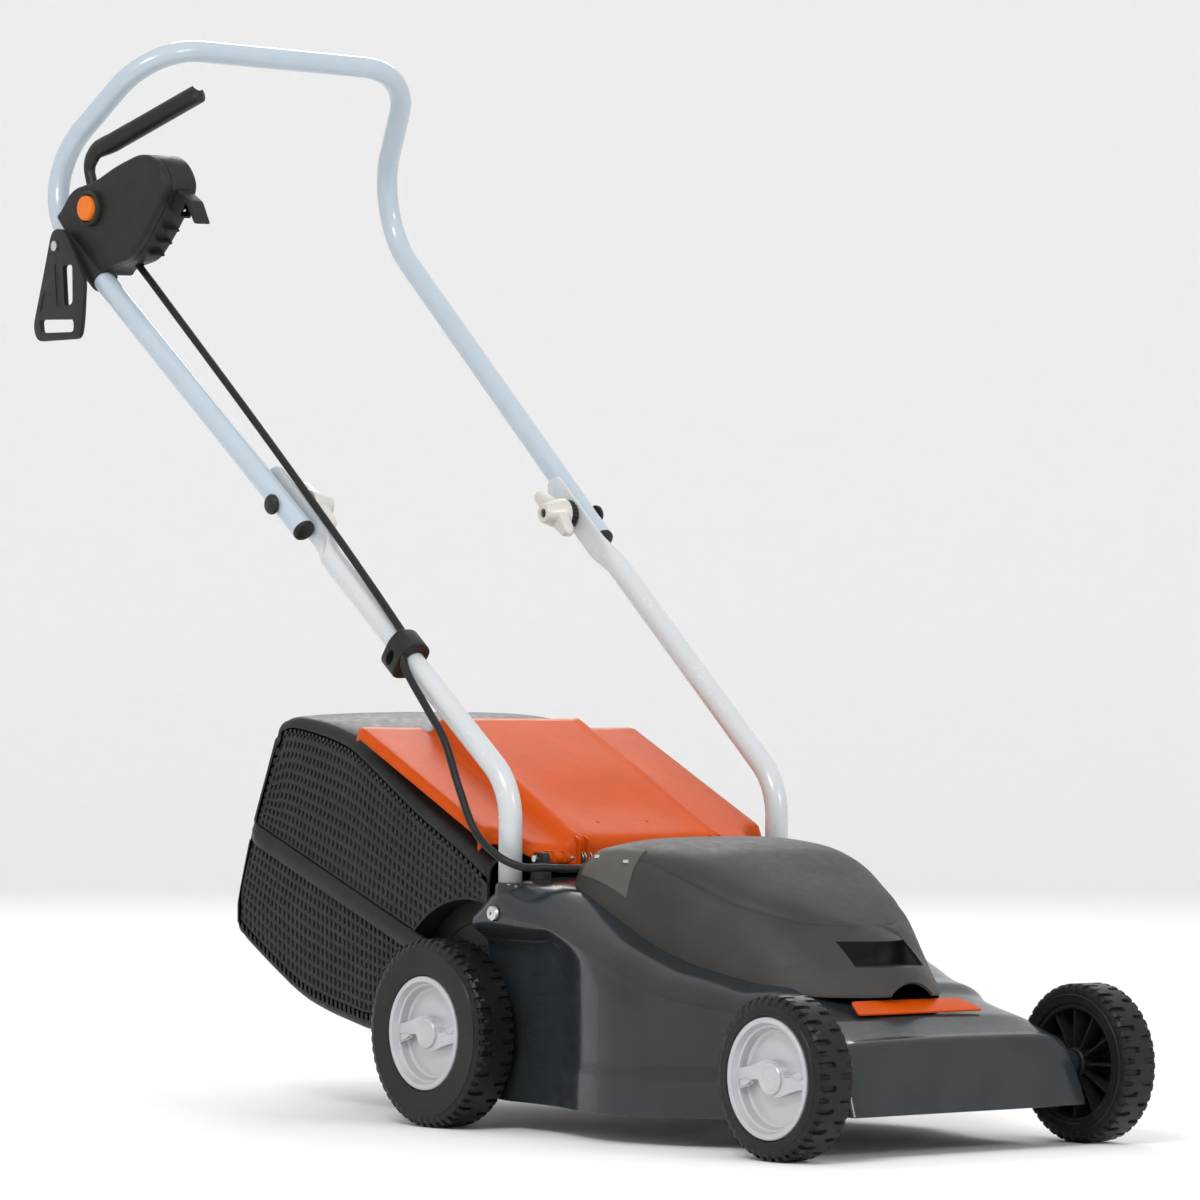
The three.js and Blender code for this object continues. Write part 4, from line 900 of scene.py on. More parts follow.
def make_deck():
    deck = make_object("deck_skin", deck_body(), 34)
    solidify(deck, DECK_WALL)
    apply_modifiers(deck)
    chute = block((-112, -60, 104), (112, 0, 194))
    well = turned([(76, 120), (76, 260)], 64).move(shift(0, MOTOR_Y, 0))
    sockets = [
        turned([(11.2, 175), (11.2, 260)], 32).move(shift(sign * FOOT_X, FOOT_Y, 0))
        for _, sign in SIDES
    ]
    cut(deck, chute, well, *sockets)
    dress(deck, "chassis", "deck_paint", DECK_GLOSS, replaces=("deck_shell",))
    details = Shape()
    rim = [(73, 148), (76, 148), (79, 150), (79, 168), (62, 168), (62, 171), (76, 173), (76, 151), (73, 148)]
    details.join(turned(rim, 64), shift(0, MOTOR_Y, 0))
    for _, sign in SIDES:
        collar = turned([(10.9, 176), (14, 177), (13.2, 212), (12, 215), (10.9, 215), (10.9, 176)], 32)
        details.join(collar, shift(sign * FOOT_X, FOOT_Y, 0))
        ear = rounded([(-45, 58), (14, 58), (14, 104), (-4, 128), (-45, 128)], 10, 4)
        details.join(upright(ear, sign * 147 - 2.5, sign * 147 + 2.5))
        boss = turned([(6.5, -11), (12.4, -11), (12.4, 11), (6.5, 11), (6.5, -11)], 32, "X")
        details.join(boss, shift(sign * 137, FRONT_AXLE_Y, FRONT_AXLE_Z))
    bevel(dress(make_object("deck_bosses", details, 30), "chassis", "deck_paint", DECK_GLOSS), 1.0, 2)


# ---------------------------------------------------------------- motor cover
# y, half width, heights of the lower edge and of the crown.
COVER_PROFILE = [
    (-112, 114, 217, 237), (-120, 121, 213, 247), (-140, 126, 206, 254), (-170, 129, 196, 256),
    (-210, 129, 177, 253), (-240, 127, 164, 247), (-265, 122, 155, 237), (-290, 115, 147, 225),
    (-315, 107, 139, 213), (-340, 96, 134, 200), (-365, 81, 130, 186), (-390, 61, 128, 170),
    (-410, 41, 128, 153), (-424, 21, 129, 138),
]
# The raised dome on it: y, half width and the height of its foot.
DOME_PROFILE = [
    (-112, 108, 232), (-158, 114, 238), (-200, 111, 236), (-247, 105, 222), (-290, 92, 204), (-320, 77, 195),
    (-348, 50, 186), (-366, 17, 184), (-370, 1, 184),
]
DOME_END_Y = -369.5


def cover_surface(x, y):
    half, low, top = curve_through(COVER_PROFILE, y)
    if y < DOME_END_Y:
        share = min(1.0, abs(x) / half)
        return low + (top - low) * max(0.0, 1 - share**1.9) ** 0.85
    dome_half, foot = curve_through(DOME_PROFILE, y)
    if dome_half > 1 and abs(x) < dome_half:
        return foot + (top - foot) * (1 - (abs(x) / dome_half) ** 3.2) ** 0.52
    share = (abs(x) - dome_half) / max(1.0, half - dome_half)
    return low + (foot - low) * max(0.0, 1 - share**1.7) ** 0.9


def cover_skin(filled=False):
    """The skin of the cover, or the same shape filled in below."""
    rows = []
    for k in range(100):
        y = mix(-113, -423, k / 99)
        half, low, _ = curve_through(COVER_PROFILE, y)
        dome_half = curve_through(DOME_PROFILE, y)[0] if y > DOME_END_Y else half * 0.4
        dome_half = min(dome_half, half - 4)
        xs = [dome_half * math.sin(math.pi / 2 * i / 18) for i in range(19)]
        xs += [dome_half + (half - dome_half) * math.sin(math.pi / 2 * i / 12) for i in range(1, 13)]
        half_row = [(x, y, cover_surface(x, y)) for x in xs] + [(half + 0.4, y, low - 1.5)]
        rows.append([(-x, yy, z) for x, yy, z in half_row[:0:-1]] + half_row)
    return Shape().grid(rows, wrap=filled, ends=filled)


def cover_patch():
    """A patch low on the cover's right rear corner in a paler grey, standing a little proud of the skin."""
    rows, under = [], []
    for k in range(15):
        t = k / 14
        y = mix(-196, -128, t)
        edge = curve_through(COVER_PROFILE, y)[0]
        xs = [-edge + mix(4, 27, i / 10) for i in range(11)]
        rows.append([(x - 0.9, y, cover_surface(x, y) + 1.0) for x in xs])
        under.append([(x + 0.6, y, cover_surface(x, y) - 1.2) for x in xs])
    patch = Shape().grid(rows).grid(under)
    for pair in ((rows[0], under[0]), (rows[-1], under[-1])):
        patch.grid(list(pair))
    for column in (0, -1):
        patch.grid([[r[column] for r in rows], [r[column] for r in under]])
    return patch


def make_cover():
    cover = make_object("cover_skin", cover_skin(), 60)
    solidify(cover, 2.4)
    apply_modifiers(cover)
    pocket = slab(rounded(rectangle(-38, -430, 38, -352), 14, 6), 151, 172)
    slits = [
        slab(rounded(rectangle(x - 21, -150.9, x + 21, -148.7), 1, 3), 246, 262)
        for x in (-34, 34)
    ]
    cut(cover, pocket, *slits)
    dress(cover, "chassis", "cover_plastic", COVER_MATTE, replaces=("motor_cover",))
    outline = rounded(rectangle(-41, -432, 41, -348), 16, 6)
    liner = make_object("cover_pocket", slab(outline, 148, 175), 30)
    combine(liner, "INTERSECT", cover_skin(filled=True).move(shift(0, 1.3, -0.9)))
    cut(liner, pocket)
    dress(liner, "chassis", "cover_plastic", COVER_MATTE)
    # The patch in the paler grey, a little proud of the cover.
    paler_patch = make_object("cover_paler_patch", cover_patch(), 40)
    bevel(dress(paler_patch, "chassis", "cover_plastic", PALER_PATCH_GREY), 0.5, 2)
    screws = Shape()
    for y in (-184, -141):
        x = 14 - curve_through(COVER_PROFILE, y)[0]
        head = turned([(0, 0.4), (0.9, 0.5), (1.2, 1.1), (2.6, 1.0), (3.3, 0.2), (3.3, -1.5), (0, -1.5)], 20)
        screws.join(head, shift(x - 0.6, y, cover_surface(x, y) + 1.0))
    dress(make_object("cover_screws", screws, 30), "chassis", "zinc_plate", ZINC)


make_grass_box()
make_flap()
make_deck()
make_cover()

# ---------------------------------------------------------------- wheels
TREAD_DEPTH = 2.6


def tread_tyre(radius, width, slots):
    """A tyre on the origin, axle along x and outer side at -x, with slots in both shoulders."""
    half = width / 2
    sidewall = [
        (50.3, -half + 1.4), (51.5, -half + 0.3), (54, -half), (radius - 13, -half + 0.2),
        (radius - 9.5, -half), (radius - 8.8, -half + 0.9), (radius - 5, -half + 1.3),
        (radius - 2.6, -half + 2.2), (radius - 1.1, -half + 3.6),
    ]
    marks = [-half + 5.2, -half + 7.5, -half + 10.5, -half + 13, -half + 15, -half + 16.4, -half + 17.4]
    marks += [-1.2, 1.2]
    marks = sorted(set(round(m, 3) for m in marks + [-m for m in marks]))
    profile = sidewall + [(radius - 0.02 * (abs(x) / half) ** 2, x) for x in marks]
    profile += [(r, -x) for r, x in sidewall[::-1]]
    lines = [(s, share) for s in range(slots) for share in (0.0, 0.24, 0.30, 0.40, 0.60, 0.70, 0.76)]
    rows = []
    for s, share in lines:
        angle = 2 * math.pi * (s + share) / slots
        core = 0.29 < share < 0.71
        row = []
        for r, x in profile:
            limit = 16.6 if (s % 2 == 0) == (x < 0) else 8.0
            limit -= 0.0 if 0.39 < share < 0.61 else 1.6
            depth = TREAD_DEPTH if core and half - abs(x) < limit and r > radius - 3.0 else 0.0
            if core and radius - 6 < r <= radius - 2.5:
                depth = 1.0
            row.append((x, (r - depth) * math.cos(angle), (r - depth) * math.sin(angle)))
        rows.append(row)
    shape = Shape().grid(rows, loop=True)
    inner = [(50.3, -half + 1.4), (50.3, half - 1.4)]
    inner_rows = []
    for s, share in lines:
        angle = 2 * math.pi * (s + share) / slots
        inner_rows.append([(x, r * math.cos(angle), r * math.sin(angle)) for r, x in inner])
    return shape.grid(inner_rows, loop=True)


def hub_face(width):
    """The dished hub: rim, stepped dish and centre cap, seen from -x."""
    face = -width / 2
    profile = [
        (0.0, face + 3.2), (9.5, face + 3.2), (10.3, face + 2.6), (12.6, face + 2.4), (13.4, face + 3.2),
        (13.8, face + 12.0), (37.0, face + 13.0), (39.5, face + 11.5), (41.5, face + 5.5), (43.0, face + 4.6),
        (44.2, face + 2.2), (45.2, face - 0.2), (46.6, face - 0.9), (48.4, face - 0.9), (49.6, face - 0.1),
        (50.0, face + 1.2), (50.0, -face - 2), (47.0, -face - 2), (46.5, -face - 3), (44.0, face + 17),
        (14.0, face + 16.5), (13.0, -face - 3), (12.0, -face - 2), (6.6, -face - 2), (6.6, face + 10),
        (0.0, face + 10),
    ]
    shape = turned(profile, 72, "X")
    arm = [
        (47.5, -6), (34, -7.4), (22, -10.5), (12, -14.2), (0, -15.4), (-9, -12.6), (-14, -7), (-16, -1.5),
        (-22, -1.0), (-33, -7.5), (-44.5, -9.5),
    ]
    outline = arm + [(-a, -b) for a, b in arm]
    spoke = slab(rounded(outline, 5, 4), 0, 7.5)
    turn = Matrix(((0, 0, -1, 0), (-1, 0, 0, 0), (0, 1, 0, 0), (0, 0, 0, 1)))
    shape.join(spoke, shift(face + 12.2, 0, 0) @ turn)
    for sign in (-1, 1):
        pocket = [(20, 4.5), (40, 10.5), (40, 1.5), (31, 0.5)]
        ring = rounded([(sign * a, sign * b) for a, b in pocket], 3, 3)
        inner = rounded([(sign * (a * 0.92 + 2.4), sign * (b * 0.8 + 0.9)) for a, b in pocket], 2.5, 3)
        foot, top = face + 4.7, face + 3.9
        rows = [
            [(foot, -a, b), (top, -a * 0.985, b * 0.985), (top, -c, d), (foot, -c, d)]
            for (a, b), (c, d) in zip(ring, inner)
        ]
        shape.grid(rows, wrap=True, loop=True)
    dot = turned([(0.0, face + 2.5), (1.0, face + 2.6), (1.5, face + 3.3)], 16, "X")
    shape.join(dot)
    for a in round_angles(12):
        rib = block((face + 17, -0.9, 13), (-face - 4, 0.9, 45.5))
        shape.join(rib, Matrix.Rotation(a, 4, "X"))
    rim_back = -width / 2 + 14
    for i, corners in enumerate(shape.faces):
        points = [shape.vertices[c] for c in corners]
        if all(p.x > rim_back for p in points) and any(p.yz.length < 49 for p in points):
            shape.kinds[i] = 1
    return shape


def make_wheels():
    ends = (
        ("front", FRONT_RADIUS, 38.5, 188.5, FRONT_AXLE_Y, FRONT_AXLE_Z, 44),
        ("rear", REAR_RADIUS, 42.0, 196.0, 0.0, REAR_AXLE_Z, 54),
    )
    for end, radius, width, outer_x, y, z, slots in ends:
        for side, sign in SIDES:
            place = shift(sign * (outer_x - width / 2), y, z)
            if sign > 0:
                place = place @ Matrix.Rotation(math.pi, 4, "Z")
            body = f"wheel_{end}_{side}"
            tyre = make_object(f"tread_{end}_{side}", tread_tyre(radius, width, slots).move(place), 32)
            dress(tyre, body, "tyre_plastic", TYRE_BLACK, replaces=(f"tyre_{end}_{side}",))
            hub = make_object(f"wheel_hub_{end}_{side}", hub_face(width).move(place), 30)
            bevel(hub, 0.7, 2)
            dress(hub, body, "hub_plastic", HUB_SILVER, HUB_BLACK, replaces=(f"hub_{end}_{side}",))


# ---------------------------------------------------------------- handle tubes
TUBE_RADIUS = 10.5
PIVOT = (244, 553.2)
LOWER_RUN, LOWER_SPLAY = 1.224, 0.068
UPPER_RUN, UPPER_SPLAY = 1.219, 0.087
UPPER_END_Z = 529
UPPER_ELBOW, UPPER_CORNER = (206, 628, 868.4), (152.7, 498.7, 999.8)
UPPER_BEND = 74


def lower_line(z):
    return (162.5 + LOWER_SPLAY * (z - 450), 116.8 + LOWER_RUN * (z - 450), z)


def upper_line(z):
    return (193.2 + UPPER_SPLAY * (z - 750), 484 + UPPER_RUN * (z - 750), z)


def flipped(p, sign):
    return (sign * p[0], p[1], p[2])


def lower_tube(sign):
    """A round tube that is pressed flat above the bend, with a rounded end."""
    corners = [(FOOT_X, FOOT_Y, 178), (FOOT_X, FOOT_Y, 299), lower_line(496)]
    path = bent([flipped(c, sign) for c in corners], 62, 14)
    sides = 28
    tube = pipe(path, TUBE_RADIUS, sides, ends=False)
    along = Vector((sign * LOWER_SPLAY, LOWER_RUN, 1)).normalized()
    flat = along.cross(Vector((1, 0, 0))).normalized()
    out = flat.cross(along).normalized()
    start = Vector(flipped(lower_line(496), sign))

    def section(distance, wide, thick, inward):
        centre = start + along * distance - out * (sign * inward)
        squareness = mix(1.0, 0.55, ease((distance - 6) / 30))
        return [
            centre + flat * (wide * math.cos(a)) + out * (
                thick * math.copysign(abs(math.sin(a)) ** squareness, math.sin(a)))
            for a in round_angles(sides)
        ]

    stations = [(0, 10.5, 10.5, 0), (8, 10.5, 10.4, 0)]
    for k in range(1, 13):
        t = ease(k / 12)
        stations.append((8 + 36 * k / 12, mix(10.5, 13, t), mix(10.4, 2.5, t), mix(0, 7.9, t)))
    stations += [(90, 13, 2.5, 7.9), (128, 13, 2.5, 7.9)]
    tip = [1.4 * k / 6 for k in range(1, 7)]
    stations += [(128 + 13 * math.sin(a), 13 * math.cos(a), 2.5, 7.9) for a in tip]
    tube.grid([section(*s) for s in stations], wrap=True, ends=True)
    return tube.join(pipe([(sign * FOOT_X, FOOT_Y, z) for z in (178, 179)], TUBE_RADIUS, sides))


def upper_tube(radius):
    half = [upper_line(UPPER_END_Z), UPPER_ELBOW, UPPER_CORNER]
    corners = [flipped(c, -1) for c in half] + half[::-1]
    return pipe(bent(corners, UPPER_BEND, 18), radius, 32)


def end_cap(sign):
    end = Vector(flipped(upper_line(UPPER_END_Z), sign))
    up = Vector((sign * UPPER_SPLAY, UPPER_RUN, 1)).normalized()
    cap = turned([
        (0, -3.5), (6.5, -3.4), (9.3, -2.7), (10.4, -1.4), (10.6, -0.1), (10.6, 1.2), (8.6, 1.3),
        (8.6, 6), (0, 6),
    ], 36)
    return cap.move(Matrix.Translation(end) @ up.to_track_quat("Z", "Y").to_matrix().to_4x4())


def make_tubes():
    handle = make_object("handle_tube", upper_tube(TUBE_RADIUS - 0.08), 50)
    dress(handle, "handle", "upper_tube_paint", UPPER_PAINT, replaces=("upper_handle",))
    for side, sign in SIDES:
        tube = make_object(f"lower_tube_{side}", lower_tube(sign), 50)
        dress(tube, "chassis", "lower_tube_paint", LOWER_PAINT, replaces=(f"lower_handle_{side}",))
        cap = make_object(f"end_plug_{side}", end_cap(sign), 40)
        dress(cap, "handle", "black_plastic", HOOK_BLACK, replaces=(f"tube_end_cap_{side}",))


# ---------------------------------------------------------------- fold clamps
BOLT_HEAD_X, WASHER_X, KNOB_X = 187.8, 158.0, 149.4


def clamp_place(sign):
    return Matrix.Scale(sign, 4, (1, 0, 0)) @ shift(0, PIVOT[0], PIVOT[1])


def ribbed_washer():
    """A spacer with ribs round its rim."""
    ribs = 22
    rows = []
    profile = (
        (4.0, WASHER_X), (12.4, WASHER_X), (13.6, WASHER_X - 0.8), (13.8, KNOB_X + 1.4),
        (12.6, KNOB_X + 0.4), (4.0, KNOB_X + 0.4),
    )
    for radius, x in profile:
        row = []
        for k, a in enumerate(round_angles(ribs * 4)):
            r = radius - (0.9 if k % 4 in (0, 1) and radius > 12.5 else 0)
            row.append((x, r * math.cos(a), r * math.sin(a)))
        rows.append(row)
    return Shape().grid(rows, wrap=True, loop=True)


def knob_shape():
    """A round knob with a tapered wing on each side, swept back like a bow."""
    shape = turned([
        (4.0, 0), (14.6, 0), (15.0, -1.2), (14.4, -6), (12.6, -13), (10.6, -19), (9.6, -23.2),
        (8.4, -24.6), (4.6, -24.8), (4.0, -22), (4.0, 0),
    ], 40, "X")
    for sign in (-1, 1):
        rows = []
        for k in range(11):
            t = k / 10
            reach = mix(6, 32.2, t)
            wide = mix(9.5, 5.6, ease(t)) * math.sqrt(max(0.02, 1 - max(0, (t - 0.72) / 0.29) ** 2))
            low, high = mix(-2.2, -5.5, t), mix(-15.5, -17.5, t)
            mid_x, half_x = (low + high) / 2, (low - high) / 2
            half_x *= math.sqrt(max(0.05, 1 - max(0, (t - 0.80) / 0.21) ** 2))
            rows.append([
                (mid_x + half_x * math.copysign(abs(math.cos(a)) ** 0.6, math.cos(a)), sign * reach,
                 wide * math.copysign(abs(math.sin(a)) ** 0.6, math.sin(a)))
                for a in (2 * math.pi * (j + 0.5) / 20 for j in range(20))
            ])
        shape.grid(rows, wrap=True, ends=True)
    return shape.move(Matrix.Rotation(0.69, 4, "X"))


def make_clamps():
    for side, sign in SIDES:
        place = clamp_place(sign)
        washer = make_object(f"washer_{side}", ribbed_washer().move(place), 30)
        dress(washer, "chassis", "black_plastic", HOOK_BLACK, replaces=(f"fold_washer_{side}",))
        knob = make_object(f"knob_{side}", knob_shape().move(place @ shift(KNOB_X, 0, 0)), 40)
        bevel(knob, 0.8, 2)
        dress(knob, f"knob_{side}", "knob_plastic", KNOB_SILVER, replaces=(f"wing_knob_{side}",))
        dome = [(0, 0.1), (9.4, 0.1), (9.6, 1.0), (9.3, 2.8), (7.6, 4.6), (4.0, 5.5), (0, 5.6)]
        head = turned(dome, 40, "X")
        end = BOLT_HEAD_X + 1
        shank = turned([(0, 126), (3.2, 126), (3.5, 126.6), (3.5, end), (0, end)], 24, "X")
        bolt = head.move(shift(BOLT_HEAD_X, 0, 0)).join(shank).move(place)
        bolt = make_object(f"bolt_{side}", bolt, 30)
        dress(bolt, "chassis", "black_plastic", HOOK_BLACK, replaces=(f"fold_bolt_{side}",))


make_wheels()
make_tubes()
make_clamps()

# ---------------------------------------------------------------- switch box
# Its frame sits on the right tube's axis: x down the tube, y forwards and up, z outwards.
SWITCH_Z = 812
SWITCH_OUTLINE = [
    (-37, 4), (-30, 15), (-28, 44), (-2, 72), (17, 103), (42, 135), (60, 144), (79, 143), (95, 134),
    (96, 114), (94, 78), (88, 45), (61, 16), (61, 4),
]
SWITCH_FACE, SWITCH_BACK, SWITCH_WALL = 10, -30, 2.5
CLAMP_RADIUS = 14
LEVER_PIVOT = (-8, 48)
BUTTON_CENTRE = (12, 50)
CABLE_EXIT = (72, 27, -21)
INLET = (94, 120, -14)


def switch_frame():
    down = Vector((UPPER_SPLAY, -UPPER_RUN, -1)).normalized()
    outwards = (Vector((-1, 0, 0)) + down * down.x).normalized()
    forwards = outwards.cross(down)
    turn = Matrix((down, forwards, outwards)).transposed().to_4x4()
    return Matrix.Translation(flipped(upper_line(SWITCH_Z), -1)) @ turn


SWITCH_FRAME = switch_frame()
TO_SWITCH = SWITCH_FRAME.inverted()


def inset(outline, amount):
    """The outline moved inwards along its corners' mean normals."""
    points = [Vector((p[0], p[1])) for p in outline]
    area = sum(a.x * b.y - b.x * a.y for a, b in zip(points, points[1:] + points[:1]))
    out = []
    for i, p in enumerate(points):
        before, after = points[i - 1], points[(i + 1) % len(points)]
        a, b = (p - before).normalized(), (after - p).normalized()
        normal = Vector((-(a.y + b.y), a.x + b.x)).normalized() * (1 if area > 0 else -1)
        out.append(tuple(p + normal * amount))
    return out


def pillow(outline, low, high, round_low=0.0, round_high=0.0, steps=5):
    """A slab whose rims are rounded, each by its own radius."""
    rows = []
    for k in range(steps if round_low else 1):
        a = math.pi / 2 * k / steps
        rim = inset(outline, round_low * (1 - math.sin(a)))
        rows.append([(x, y, low + round_low * (1 - math.cos(a))) for x, y in rim])
    if round_low:
        rows.append([(x, y, low + round_low) for x, y in outline])
    for k in range(steps + 1 if round_high else 1):
        a = math.pi / 2 * k / steps
        rim = inset(outline, round_high * (1 - math.cos(a)))
        rows.append([(x, y, high - round_high + round_high * math.sin(a)) for x, y in rim])
    return Shape().grid(rows, wrap=True, ends=True)


def tube_clearance():
    return upper_tube(TUBE_RADIUS + 0.35).move(TO_SWITCH)


def lever_slot():
    return block((-54, 42, -12.5), (6, 82, 0.5))


def clamp_barrel(w0, w1):
    """The part of the clamp on the tube that belongs to one half."""
    rows = []
    for u, r in ((-10, 12.4), (-9, 13.6), (-7, CLAMP_RADIUS), (57, CLAMP_RADIUS), (59, 13.6), (60, 12.4)):
        low, high = max(w0, -r), min(w1, r)
        first, last = math.asin(low / r), math.asin(high / r)
        arc = [mix(first, last, k / 20) for k in range(21)]
        ring = [(u, r * math.cos(a), r * math.sin(a)) for a in arc]
        ring += [(u, -r * math.cos(a), r * math.sin(a)) for a in arc[::-1]]
        rows.append(ring)
    return Shape().grid(rows, wrap=True, ends=True)


def make_switch_box():
    outline = rounded(SWITCH_OUTLINE, 12, 6)
    hollow = inset(outline, SWITCH_WALL)
    room = [p for p in hollow if p[1] > 20]
    outer = make_object("switch_case_outer", pillow(outline, 0.3, SWITCH_FACE, 0.5, 3.6), 35)
    fuse(outer, clamp_barrel(0.3, CLAMP_RADIUS))
    stub = turned([(2.9, -215), (5, -215), (5, -211.6), (2.9, -211.6), (2.9, -215)], 24, "X")
    fuse(outer, stub.move(TO_SWITCH @ shift(*HOOK_PIN)))
    hole = turned([(0, -5), (12.6, -5), (12.6, 30), (0, 30)], 40).move(shift(*BUTTON_CENTRE, 0))
    cut(outer, slab(room, -1, SWITCH_FACE - SWITCH_WALL), tube_clearance(), hole, lever_slot())
    inner = make_object("switch_case_inner", pillow(outline, SWITCH_BACK, -0.3, 3.6, 0.5), 35)
    fuse(inner, clamp_barrel(-CLAMP_RADIUS, -0.3))
    for u, v in ((90, 56), (93, 72), (95, 88)):
        fuse(inner, block((u - 6, v - 1, -24), (u + 5.5, v + 1, -9)))
    u, v, w = INLET
    opening = block((u - 15, v - 10.8, w - 7.8), (u + 15, v + 10.8, w + 7.8))
    exit_hole = pipe([(50, 27.4, -21), (CABLE_EXIT[0] + 25, 26.4, -21)], 4.6, 24)
    cut(inner, slab(room, SWITCH_BACK + SWITCH_WALL, 1), tube_clearance(), opening, exit_hole, lever_slot())
    for obj, node in ((outer, "switch_box_outer"), (inner, "switch_box_inner")):
        obj.data.transform(at_matrix(SWITCH_FRAME))
        dress(obj, "handle", "black_plastic", SWITCH_BLACK, replaces=(node,))


def at_matrix(matrix):
    """The row-frame matrix, in metres, that does what a matrix in the mower's millimetres does."""
    origin = Matrix.Translation(at((0, 0, 0)))
    turn = matrix.to_3x3().to_4x4()
    place = Matrix.Translation(matrix.translation * MM)
    return origin @ place @ turn @ origin.inverted()


def make_button():
    spot = SWITCH_FRAME @ shift(*BUTTON_CENTRE, 0)
    ring = turned([
        (13, 10.4), (17, 10.4), (17, 13), (16.6, 14.8), (15.6, 16), (14.2, 16.3), (13.2, 15.8),
        (13, 14.8), (13, 10.4),
    ], 56)
    collar = make_object("button_ring", ring.move(spot), 30)
    dress(collar, "handle", "black_plastic", HOOK_BLACK, replaces=("button_collar",))
    cap = turned([
        (0, 1), (6, 1), (6, 3), (12, 3), (12, 17.4), (11.7, 18.8), (10.9, 19.8), (9.6, 20.3),
        (7, 20.2), (0, 19.9),
    ], 56)
    button = make_object("button_cap", cap.move(spot), 30)
    dress(button, "button", "button_plastic", BUTTON_ORANGE, replaces=("lock_button",))


LEVER_PATH = [(-8, 48, -6), (-38, 66, -7), (-38, 84, -9), (-26, 101, -14), (32, 201, -40)]


def make_lever():
    path = bent(LEVER_PATH, 17, 10)
    fine = []
    for a, b in zip(path, path[1:]):
        count = max(1, int((Vector(b) - Vector(a)).length / 4))
        fine += [Vector(a).lerp(Vector(b), k / count) for k in range(count)]
    fine.append(Vector(path[-1]))
    total = sum((b - a).length for a, b in zip(fine, fine[1:]))
    travelled, rows = 0.0, []
    for i, p in enumerate(fine):
        before, after = fine[max(i - 1, 0)], fine[min(i + 1, len(fine) - 1)]
        travelled += (p - before).length
        along = (after - before).normalized()
        thick = (Vector((0, 0, 1)) - along * along.z).normalized()
        wide = along.cross(thick)
        grip = ease((travelled - 44) / 26)
        tip = math.sqrt(max(0.06, 1 - max(0.0, (travelled - total + 5) / 5.2) ** 2))
        clear_of_box = ease((travelled - 26) / 16)
        across = mix(mix(5.4, 8.4, clear_of_box), 9.4, grip) * tip
        deep = mix(5.4, 9.4, grip) * tip
        rows.append([
            p + wide * (across * math.cos(a)) + thick * (deep * math.sin(a))
            for a in round_angles(28)
        ])
    lever = make_object("lever_grip", Shape().grid(rows, wrap=True, ends=True), 45)
    bend, tip = Vector(LEVER_PATH[3]), Vector(LEVER_PATH[4])
    along = (tip - bend).normalized()
    to_tube = (Vector((-1, 0, 0)) + along * along.x).normalized()
    channel = pipe([bend + along * 26 + to_tube * 6.6, tip + along * 12 + to_tube * 6.6], 6.8, 24)
    pivot = shift(*LEVER_PIVOT, 0)
    eye = turned([(2.8, -11), (7, -11), (7, -1), (2.8, -1), (2.8, -11)], 32).move(pivot)
    pin_hole = turned([(0, -20), (2.8, -20), (2.8, 10), (0, 10)], 24).move(pivot)
    cut(lever, channel)
    fuse(lever, eye)
    cut(lever, pin_hole)
    lever.data.transform(at_matrix(SWITCH_FRAME))
    dress(lever, "lever", "black_plastic", HOOK_BLACK, replaces=("switch_lever",))


def make_inlet():
    u, v, w = INLET
    shroud = make_object("inlet_shroud", block((u - 10, v - 10.5, w - 7.5), (u + 16, v + 10.5, w + 7.5)), 35)
    cut(shroud, block((u - 6, v - 8.5, w - 5.5), (u + 20, v + 8.5, w + 5.5)))
    peak = rounded([(101, 132), (118, 134), (140, 124), (134, 120), (116, 127), (101, 128)], 2.6, 5)
    hood = pillow(peak, w - 7.5, w + 7.5, 1.4, 1.4)
    fuse(shroud, hood)
    shroud.data.transform(at_matrix(SWITCH_FRAME))
    bevel(dress(shroud, "handle", "black_plastic", SWITCH_BLACK, replaces=("plug_inlet",)), 0.6, 2)
    pins = Shape()
    for offset in (-4, 4):
        pin = turned([(0, u - 8), (2, u - 8), (2, u + 11), (1.4, u + 13), (0, u + 13)], 20, "X")
        pins.join(pin, shift(0, v + offset, w))
    dress(make_object("inlet_pins", pins.move(SWITCH_FRAME), 30), "handle", "zinc_plate", ZINC)


# ---------------------------------------------------------------- cord hook
HOOK_X = -218
HOOK_OUTLINE = [
    (571, 822), (563, 826), (548, 824), (530, 800), (513, 774), (516, 735), (520, 718), (594, 719),
    (602, 733), (587, 775),
]
HOOK_SLOTS = (
    ((550, 790), (533, 790), (532, 752), (546, 750)),
    ((590, 740), (530, 737), (530, 725), (588, 727)),
)


def make_hook():
    outline = rounded(HOOK_OUTLINE, 8, 6)
    plate = pillow(outline, HOOK_X - 2.5, HOOK_X + 2.5, 0.9, 0.9).move(OUTLINE_TO_YZ)
    hook = make_object("hook_plate", plate, 35)
    for slot in HOOK_SLOTS:
        cut(hook, upright(rounded(slot, 4.5, 5), HOOK_X - 10, HOOK_X + 10))
    bore = turned([(0, HOOK_X - 20), (2.9, HOOK_X - 20), (2.9, HOOK_X + 20), (0, HOOK_X + 20)], 24, "X")
    cut(hook, bore.move(shift(*HOOK_PIN)))
    groove = rounded([(564, 792), (556, 792), (552, 752), (560, 750)], 3, 4)
    panel = rounded([(584, 764), (566, 764), (572, 746), (590, 747)], 3, 4)
    for shape in (groove, panel):
        cut(hook, upright(shape, HOOK_X - 10, HOOK_X - 1.7))
    bevel(dress(hook, "hook", "black_plastic", HOOK_BLACK, replaces=("cord_hook",)), 0.4, 2)


